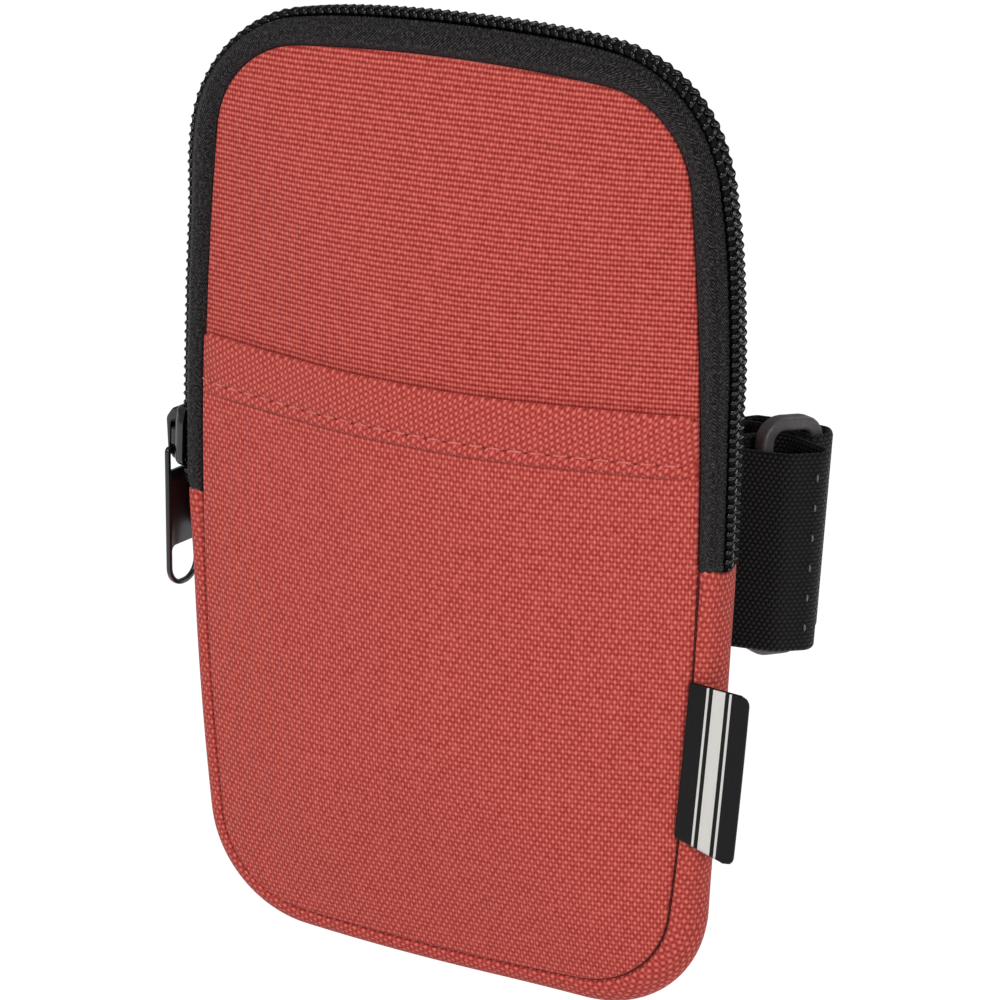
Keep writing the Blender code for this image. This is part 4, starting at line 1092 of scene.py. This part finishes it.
def label_mesh():
    """Across it runs the section of a fold: out along one layer, half round and back. Its
    free corners are pressed round, so its reach falls off near them along a circle."""
    run = np.linspace(0, 1, 25)
    fold = (LABEL_LAYER + GAP) / 2
    drop = np.linspace(0, LABEL_HEIGHT, 61)[:, None]
    end = np.maximum(LABEL_CORNER - np.minimum(drop, LABEL_HEIGHT - drop), 0)
    reach = LABEL_REACH - LABEL_CORNER + np.sqrt(LABEL_CORNER**2 - end**2) - fold
    turn = np.linspace(-np.pi / 2, np.pi / 2, 9)
    out = reach * run
    x = np.concatenate([out, reach + fold * np.cos(turn)[1:-1], out[:, ::-1]], 1)
    y = np.concatenate([np.full(25, -fold), fold * np.sin(turn)[1:-1], np.full(25, fold)])
    curl = LABEL_CURL * np.sin(2.4 * drop / LABEL_HEIGHT) * (x / LABEL_REACH) ** 2
    length = np.concatenate([out, reach + fold * (turn[1:-1] + np.pi / 2),
                             2 * reach + fold * np.pi - out[:, ::-1]], 1)
    sag = LABEL_SAG * (x / LABEL_REACH) * smooth(drop, 0, LABEL_HEIGHT) ** 2
    grid = stacked(x, y + curl, -drop - sag)
    return skin("label_ribbon", grid, stacked(length, drop))


def bars(tree, place, edges, code, ground):
    """Colour of bars that are woven across the ribbon between (low, high) edges."""
    low, high = edges
    above = node(tree, "Math", {0: place, 1: low}, operation="GREATER_THAN")
    below = node(tree, "Math", {0: place, 1: high}, operation="LESS_THAN")
    inside = node(tree, "Math", {0: above, 1: below}, operation="MULTIPLY")
    return node(tree, "MixRGB", {0: inside, 1: ground, 2: ink(code)})


# Black with a faint sheen on its floats, partly the shader's own and partly painted a shade
# lighter along each float; the floats are drawn 0.22 mm apart for a real 0.1 mm, and the bars
# are crisp off-white
satin, satin_tree, satin_shader = finish("black woven satin", 0.5, Sheen_Weight=0.02,
                                         Sheen_Roughness=0.3, Specular_IOR_Level=0.2)
satin_place = node(satin_tree, "TexCoord").outputs["UV"]
satin_split = node(satin_tree, "SeparateXYZ", {0: satin_place})
floats = node(satin_tree, "Math", {0: satin_split.outputs[0],
                                   1: 2 * math.pi / SATIN_FLOAT}, operation="MULTIPLY")
ribs = node(satin_tree, "Math", {0: floats}, operation="SINE")
shade = node(satin_tree, "MapRange", {0: ribs, 1: -1.0, 2: 1.0})
cloth_colour = coloured(satin_tree, shade, ((0.1, "#060506"), (0.9, "#121011")))
away = node(satin_tree, "Math", {0: satin_split.outputs[0], 1: BARS_AT},
            operation="SUBTRACT")
distance = node(satin_tree, "Math", {0: away}, operation="ABSOLUTE")
for edges in (WIDE_BAR, NARROW_BARS):
    cloth_colour = bars(satin_tree, distance, edges, "#D8D6D2", cloth_colour)
satin_tree.links.new(cloth_colour.outputs[0], satin_shader.inputs["Base Color"])
satin_bump = node(satin_tree, "Bump", {"Height": ribs, "Distance": 0.03 * MM,
                                       "Strength": 0.5})
satin_tree.links.new(satin_bump.outputs[0], satin_shader.inputs["Normal"])
label = label_mesh()
label.transform(Matrix.Translation(label_place) @ Matrix.Rotation(LABEL_DROOP, 4, "Y"))
label_ribbon = show(label, satin, LABEL_LAYER)
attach(label_ribbon, "pouch")
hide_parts("side_label")

# Strap
# 35 mm black polyester webbing, 1.3 mm thick: a short end that holds the ring in an eye,
# and the long band that goes round the bottle, through the ring and back on itself.
WEBBING_WIDTH = 35 * MM
WEBBING = 1.3 * MM
LOOP_RADIUS = 10.4 * MM
RING_X = 48.7 * MM
RING_DEPTH = 25.2 * MM
RING_BAR = 2.5 * MM
RING_WIDTH = 13.1 * MM
RING_THICKNESS = 3 * MM
RING_HEIGHT = 43 * MM
RING_PLAY = 0.8 * MM
RING_TURN = math.radians(60)
RING_LEAN = math.radians(6.5)
EYE_BEND = 2 * MM
EYE_EASE = 5 * MM
BAND_START = 6 * MM
SEWN_END = RING_X - 18.9 * MM
FASTENER_END = RING_X - 8.9 * MM
BAND_SLACK = 1.1 * MM
LOOP_LEFT = -38 * MM
EYE_REACH = 9.7 * MM
EYE_FOLD, EYE_SPREAD = 1.3 * MM, 1.0 * MM
TAIL_SPACE = 2 * MM
TAIL = LOOP_RADIUS - WEBBING - TAIL_SPACE
TAIL_END = 20 * MM
PATH_STEP = 0.35 * MM
TACK_PITCH = 5.3 * MM
TACK_LOW, TACK_HIGH = -13.2 * MM, 14 * MM
TACK_LENGTH, TACK_THREAD = 1.5 * MM, 0.22 * MM
RIB, WALE = 0.95 * MM, 0.72 * MM


def ring_plan(across, out):
    """Plan point beside the ring: across from its front bar, out from its plane."""
    cos, sin = math.cos(RING_TURN), math.sin(RING_TURN)
    return (RING_X + across * cos + out * sin,
            SEAM_Y[FRONT] + RING_DEPTH + across * sin - out * cos)


def evened(path, step):
    """The same path with its points a step apart."""
    run = lengths(path)
    even = np.linspace(0, run[-1], round(run[-1] / step) + 1)
    return np.stack([np.interp(even, run, axis) for axis in path.T], -1)


def webbing_grid(path, thickness, width, lean_from=None):
    """A band on edge along a plan path. Its section is a flat oval: two faces joined by
    half rounds. Past lean_from it leans by height x tan(lean) to follow the ring."""
    path = evened(path, PATH_STEP)
    ahead = heading(path)
    side = np.stack([ahead[:, 1], -ahead[:, 0]], -1)
    half = thickness / 2
    flat = np.linspace(-1, 1, 19) * (width / 2 - half)
    bend = np.linspace(0, np.pi, 7)[1:-1]
    level = np.concatenate([flat, width / 2 - half + half * np.sin(bend), flat[::-1],
                            -width / 2 + half - half * np.sin(bend), flat[:1]])
    off = np.concatenate([np.full(19, half), half * np.cos(bend), np.full(19, -half),
                          -half * np.cos(bend), [half]])
    closing = np.ones(len(path))
    closing[[0, -1]] = 0
    x = path[None, :, 0] + off[:, None] * closing * side[None, :, 0]
    y = path[None, :, 1] + off[:, None] * closing * side[None, :, 1]
    if lean_from is not None:
        lean = smooth(path[None, :, 0], lean_from, RING_X - RING_WIDTH / 2)
        y = y + level[:, None] * math.tan(RING_LEAN) * lean
    return (stacked(x, y, level[:, None]),
            stacked(lengths(path)[None], level[:, None]))


def webbing_weave(name, rib, wale):
    """Webbing: heavy ribs across it, each a row of warp floats `wale` apart up the band,
    half a rib out of step with its neighbours."""
    made, tree, shader = finish(name, 0.58, Sheen_Weight=0.05, Sheen_Roughness=0.4,
                                Specular_IOR_Level=0.2)
    place = node(tree, "TexCoord").outputs["UV"]
    split = node(tree, "SeparateXYZ", {0: place})
    row = node(tree, "Math", {0: split.outputs[1], 1: 1 / wale}, operation="MULTIPLY")
    floor_row = node(tree, "Math", {0: row}, operation="FLOOR")
    odd = node(tree, "Math", {0: floor_row, 1: 2.0}, operation="MODULO")
    along = node(tree, "Math", {0: split.outputs[0], 1: 1 / rib}, operation="MULTIPLY")
    shifted = node(tree, "Math", {0: odd, 1: 0.5, 2: along}, operation="MULTIPLY_ADD")
    in_row = node(tree, "Math", {0: row}, operation="FRACT")
    in_float = node(tree, "Math", {0: shifted}, operation="FRACT")
    humps = []
    for share in (in_row, in_float):
        turn = node(tree, "Math", {0: share, 1: math.pi}, operation="MULTIPLY")
        humps.append(node(tree, "Math", {0: turn}, operation="SINE"))
    dome = node(tree, "Math", {0: humps[0], 1: humps[1]}, operation="MULTIPLY")
    fibre = node(tree, "TexNoise", {"Vector": place, "Scale": 1900.0, "Detail": 3.0})
    shade = node(tree, "Math", {0: fibre, 1: 0.7, 2: dome}, operation="MULTIPLY_ADD")
    surfaced(tree, shader, shade, ((0.3, "#060506"), (0.75, "#0F0E0F"), (1.0, "#232122")),
             dome, 0.28 * MM, 0.9)
    return made


# Black, with a painted low grey light on the top of each rib's floats and painted shade
# between them
webbing_black = webbing_weave("black polyester webbing", RIB, WALE)
behind = RING_THICKNESS / 2 + WEBBING / 2 + RING_PLAY
eye_middle = (RING_WIDTH - RING_BAR) / 2
short_path = cornered([
    (BAND_START + GAP, -LOOP_RADIUS, 0), (SEWN_END, -LOOP_RADIUS, EYE_EASE),
    (*ring_plan(-RING_BAR / 2, EYE_REACH - WEBBING / 2), EYE_EASE),
    (*ring_plan(eye_middle + EYE_FOLD, EYE_REACH + WEBBING + EYE_SPREAD), EYE_BEND),
    (*ring_plan(eye_middle, 0.0), EYE_EASE), (*ring_plan(eye_middle / 2, -behind), EYE_BEND),
    (RING_X - RING_WIDTH + RING_BAR, -LOOP_RADIUS + WEBBING + EYE_BEND, EYE_EASE),
    (SEWN_END, -LOOP_RADIUS + WEBBING + GAP, 0)], closed=False)
span = RING_WIDTH - RING_BAR
bar = (RING_BAR + WEBBING) / 2
left = LOOP_LEFT - LOOP_RADIUS
band_path = cornered([
    (BAND_START, -LOOP_RADIUS, 0), (left, -LOOP_RADIUS, LOOP_RADIUS),
    (left, LOOP_RADIUS, LOOP_RADIUS), (FASTENER_END, LOOP_RADIUS, EYE_EASE),
    (RING_X, LOOP_RADIUS + BAND_SLACK, EYE_EASE),
    (*ring_plan(span + bar + BAND_SLACK, 0.0), EYE_BEND),
    (*ring_plan(span + RING_BAR / 2, behind), EYE_BEND),
    (*ring_plan(span - bar - RING_PLAY, behind), WEBBING),
    (*ring_plan(span - bar - RING_PLAY, -behind), EYE_BEND),
    (FASTENER_END + WEBBING, TAIL, 0), (FASTENER_END, TAIL, 0), (TAIL_END, TAIL, 0)],
    closed=False)
for name, path, lean_from, old in (
        ("short_webbing", short_path, SEWN_END, "strap_short_end"),
        ("band_webbing", band_path, FASTENER_END, "strap_band")):
    webbing = show(skin(name, *webbing_grid(path, WEBBING, WEBBING_WIDTH, lean_from)),
                   webbing_black)
    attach(webbing, "pouch")
    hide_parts(old)

# Tacking down the crease of the eye: short stitches 5.3 mm apart, grey dashes on the black
grey_thread = finish("dark grey tacking thread", 0.6, Base_Color=ink("#6E6B6C"))[0]
even_path = evened(short_path, PATH_STEP)
tack = int(np.argmax(even_path[:, 0] + even_path[:, 1] * 0.2)) - 6
side_out = even_path[tack + 1] - even_path[tack - 1]
side_out = np.array([side_out[1], -side_out[0], 0]) / np.linalg.norm(side_out)
levels = np.arange(TACK_LOW, TACK_HIGH, TACK_PITCH)
centre = stacked(even_path[tack, 0], even_path[tack, 1] + levels * math.tan(RING_LEAN),
                 levels)
centre = centre + side_out * WEBBING / 2
tacks = show(stitches("eye_tacks", centre, np.broadcast_to((0.0, 0.0, 1.0), centre.shape),
                      np.broadcast_to(side_out, centre.shape), TACK_LENGTH, TACK_THREAD),
             grey_thread)
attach(tacks, "pouch")

# Strap fastener
# 30 mm hook and loop tape, sewn on: loop pile inside the band's rear run, and the hook
# tape's nylon backing on the tail that lies on it.
FASTENER = 0.5 * MM
FASTENER_WIDTH = 30 * MM
LOOP_START = -28 * MM
HOOK_START = FASTENER_END - 20 * MM
BAND_INSIDE = LOOP_RADIUS - WEBBING / 2
TAIL_INSIDE = BAND_INSIDE - TAIL_SPACE
# Black fuzz, soft at its edges, with greyer tips
loop_paint = grained("black loop pile", 0.9, "TexNoise",
                     {"Scale": 1500.0, "Detail": 4.0, "Distortion": 1.5},
                     ((0.3, "#0B0B0B"), (0.7, "#2A2829")), 0.4 * MM, Sheen_Weight=0.5,
                     Sheen_Roughness=0.6)
# Even black with a low shine
hook_paint = finish("black hook nylon", 0.4, Base_Color=ink("#131213"))[0]
for name, y, start, paint, old in (
        ("loop_pile_tape", BAND_INSIDE - GAP - FASTENER / 2, LOOP_START, loop_paint,
         "loop_tape"),
        ("hook_backing", TAIL_INSIDE + GAP + FASTENER / 2, HOOK_START, hook_paint,
         "hook_tape")):
    path = np.array([(start, y), (FASTENER_END, y)])
    tape = show(skin(name, *webbing_grid(path, FASTENER, FASTENER_WIDTH)), paint)
    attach(tape, "pouch")
    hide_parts(old)

# Strap ring
# Injection-moulded acetal, matt black: a rectangular ring with rounded edges and corners.
# The short end's eye holds its one bar, and the band goes round the other.
RING_CORNER = 4.6 * MM
RING_EDGE = 0.7 * MM


def ring_mesh():
    """A rounded section (a square whose corners are arcs) swept round the middle line of
    the ring's rectangle; its own corners are rounded too."""
    half = RING_HEIGHT / 2 - RING_BAR / 2
    corner = RING_CORNER - RING_BAR / 2
    line = cornered([(0, -half, corner), (RING_WIDTH - RING_BAR, -half, corner),
                     (RING_WIDTH - RING_BAR, half, corner), (0, half, corner)],
                    turn=math.radians(6))
    line = evened(np.concatenate([line, line[:1]]), 0.8 * MM)
    ahead = np.roll(line[:-1], -1, 0) - np.roll(line[:-1], 1, 0)
    ahead = np.concatenate([ahead, ahead[:1]])
    ahead /= np.linalg.norm(ahead, axis=1, keepdims=True)
    aside = np.stack([ahead[:, 1], -ahead[:, 0]], -1)
    wide, deep = RING_BAR / 2, RING_THICKNESS / 2
    section = cornered([(wide, -deep, RING_EDGE), (wide, deep, RING_EDGE),
                        (-wide, deep, RING_EDGE), (-wide, -deep, RING_EDGE)],
                       turn=math.radians(15))
    section = np.concatenate([section, section[:1]])
    x = line[:, 0] + section[:, :1] * aside[:, 0]
    z = line[:, 1] + section[:, :1] * aside[:, 1]
    mesh = skin("ring_moulding", stacked(x, section[:, 1:], z))
    mesh.transform(Matrix.Translation((RING_X, SEAM_Y[FRONT] + RING_DEPTH, 0))
                   @ Matrix.Rotation(-RING_LEAN, 4, "X") @ Matrix.Rotation(RING_TURN, 4, "Z"))
    return mesh


# Matt dark grey with the fine grain of a textured mould
acetal = grained("black acetal", 0.45, "TexNoise", {"Scale": 1600.0, "Detail": 3.0},
                 ((0.3, "#4A4748"), (0.7, "#5B5859")), 0.03 * MM, 0.5,
                 Specular_IOR_Level=0.5)
ring_piece = show(ring_mesh(), acetal)
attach(ring_piece, "ring")
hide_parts("strap_ring")

# Camera
# Level with the pouch's upper half and to its right, as it is seen in the photograph.
AZIMUTH, ELEVATION, TILT = (math.radians(a) for a in (28, 19.24, 0.8))
AIM = Vector((11.29, -26.05, 7.82)) * MM
DISTANCE = 678 * MM
FOCAL = 3.927  # picture widths, fitted to the photograph
toward = Vector((math.sin(AZIMUTH) * math.cos(ELEVATION),
                 -math.cos(AZIMUTH) * math.cos(ELEVATION), math.sin(ELEVATION)))
level_right = Vector((math.cos(AZIMUTH), math.sin(AZIMUTH), 0))
level_up = toward.cross(level_right)
right = math.cos(TILT) * level_right + math.sin(TILT) * level_up
lens = bpy.data.cameras.new("camera")
lens.sensor_width = 36
lens.lens = FOCAL * lens.sensor_width
lens.clip_start, lens.clip_end = 0.05, 20
camera = bpy.data.objects.new("camera", lens)
turned_to = Matrix((right, toward.cross(right), toward)).transposed()
camera.matrix_world = Matrix.Translation(AIM + toward * DISTANCE) @ turned_to.to_4x4()
bpy.context.collection.objects.link(camera)
bpy.context.scene.camera = camera

# Studio
# A pale floor that shows white to the camera and keeps a faint shadow, under soft lamps.
FLOOR_Z = cad_box[0].z
FLOOR_REACH = 3
# Pale grey where light falls on it, and a white glow where the camera or a reflection looks
floor_paint, floor_tree, floor_shader = finish("pale floor", 0.9, Base_Color=ink("#F2F2F2"))
rays = node(floor_tree, "LightPath")
seen = node(floor_tree, "Math", {0: rays.outputs["Is Camera Ray"],
                                 1: rays.outputs["Is Glossy Ray"]}, operation="MAXIMUM")
through = node(floor_tree, "Math", {0: seen, 1: rays.outputs["Is Transmission Ray"]},
               operation="MAXIMUM")
share = node(floor_tree, "Math", {0: through, 1: 0.9}, operation="MULTIPLY")
glow = node(floor_tree, "Emission", {"Color": ink("#FFFFFF"), "Strength": 1.1})
mixed = node(floor_tree, "MixShader", {0: share, 1: floor_shader, 2: glow})
floor_tree.links.new(mixed.outputs[0], floor_tree.nodes["Material Output"].inputs["Surface"])
reach = np.linspace(-FLOOR_REACH, FLOOR_REACH, 3)
floor = show(skin("floor", stacked(reach[None], reach[:, None], FLOOR_Z)), floor_paint)

world = bpy.data.worlds.new("studio")
bpy.context.scene.world = world
world.use_nodes = True
sky = world.node_tree
rays = node(sky, "LightPath")
seen = node(sky, "Math", {0: rays.outputs["Is Camera Ray"],
                          1: rays.outputs["Is Transmission Ray"]}, operation="MAXIMUM")
power = node(sky, "MapRange", {0: seen, 3: 0.24, 4: 1.0})
sky.links.new(power.outputs[0], sky.nodes["Background"].inputs["Strength"])
sky.nodes["Background"].inputs["Color"].default_value = ink("#FFFFFF")


def lamp(name, place, size, power):
    """A square soft box aimed at the pouch."""
    light = bpy.data.lights.new(name, "AREA")
    light.shape = "SQUARE"
    light.size = size
    light.energy = power
    made = bpy.data.objects.new(name, light)
    made.matrix_world = (Matrix.Translation(place)
                         @ (Vector(place) - AIM).to_track_quat("Z", "Y").to_matrix().to_4x4())
    bpy.context.collection.objects.link(made)


# Place and size in metres, power in watts
lamp("key", (-0.5, -0.9, 0.9), 0.36, 9.2)
lamp("fill", (0.9, -0.7, 0.35), 0.36, 5.0)
lamp("rim", (0.4, 0.8, 0.7), 0.5, 2.4)

bpy.context.scene.view_settings.view_transform = "Standard"
bpy.context.view_layer.update()
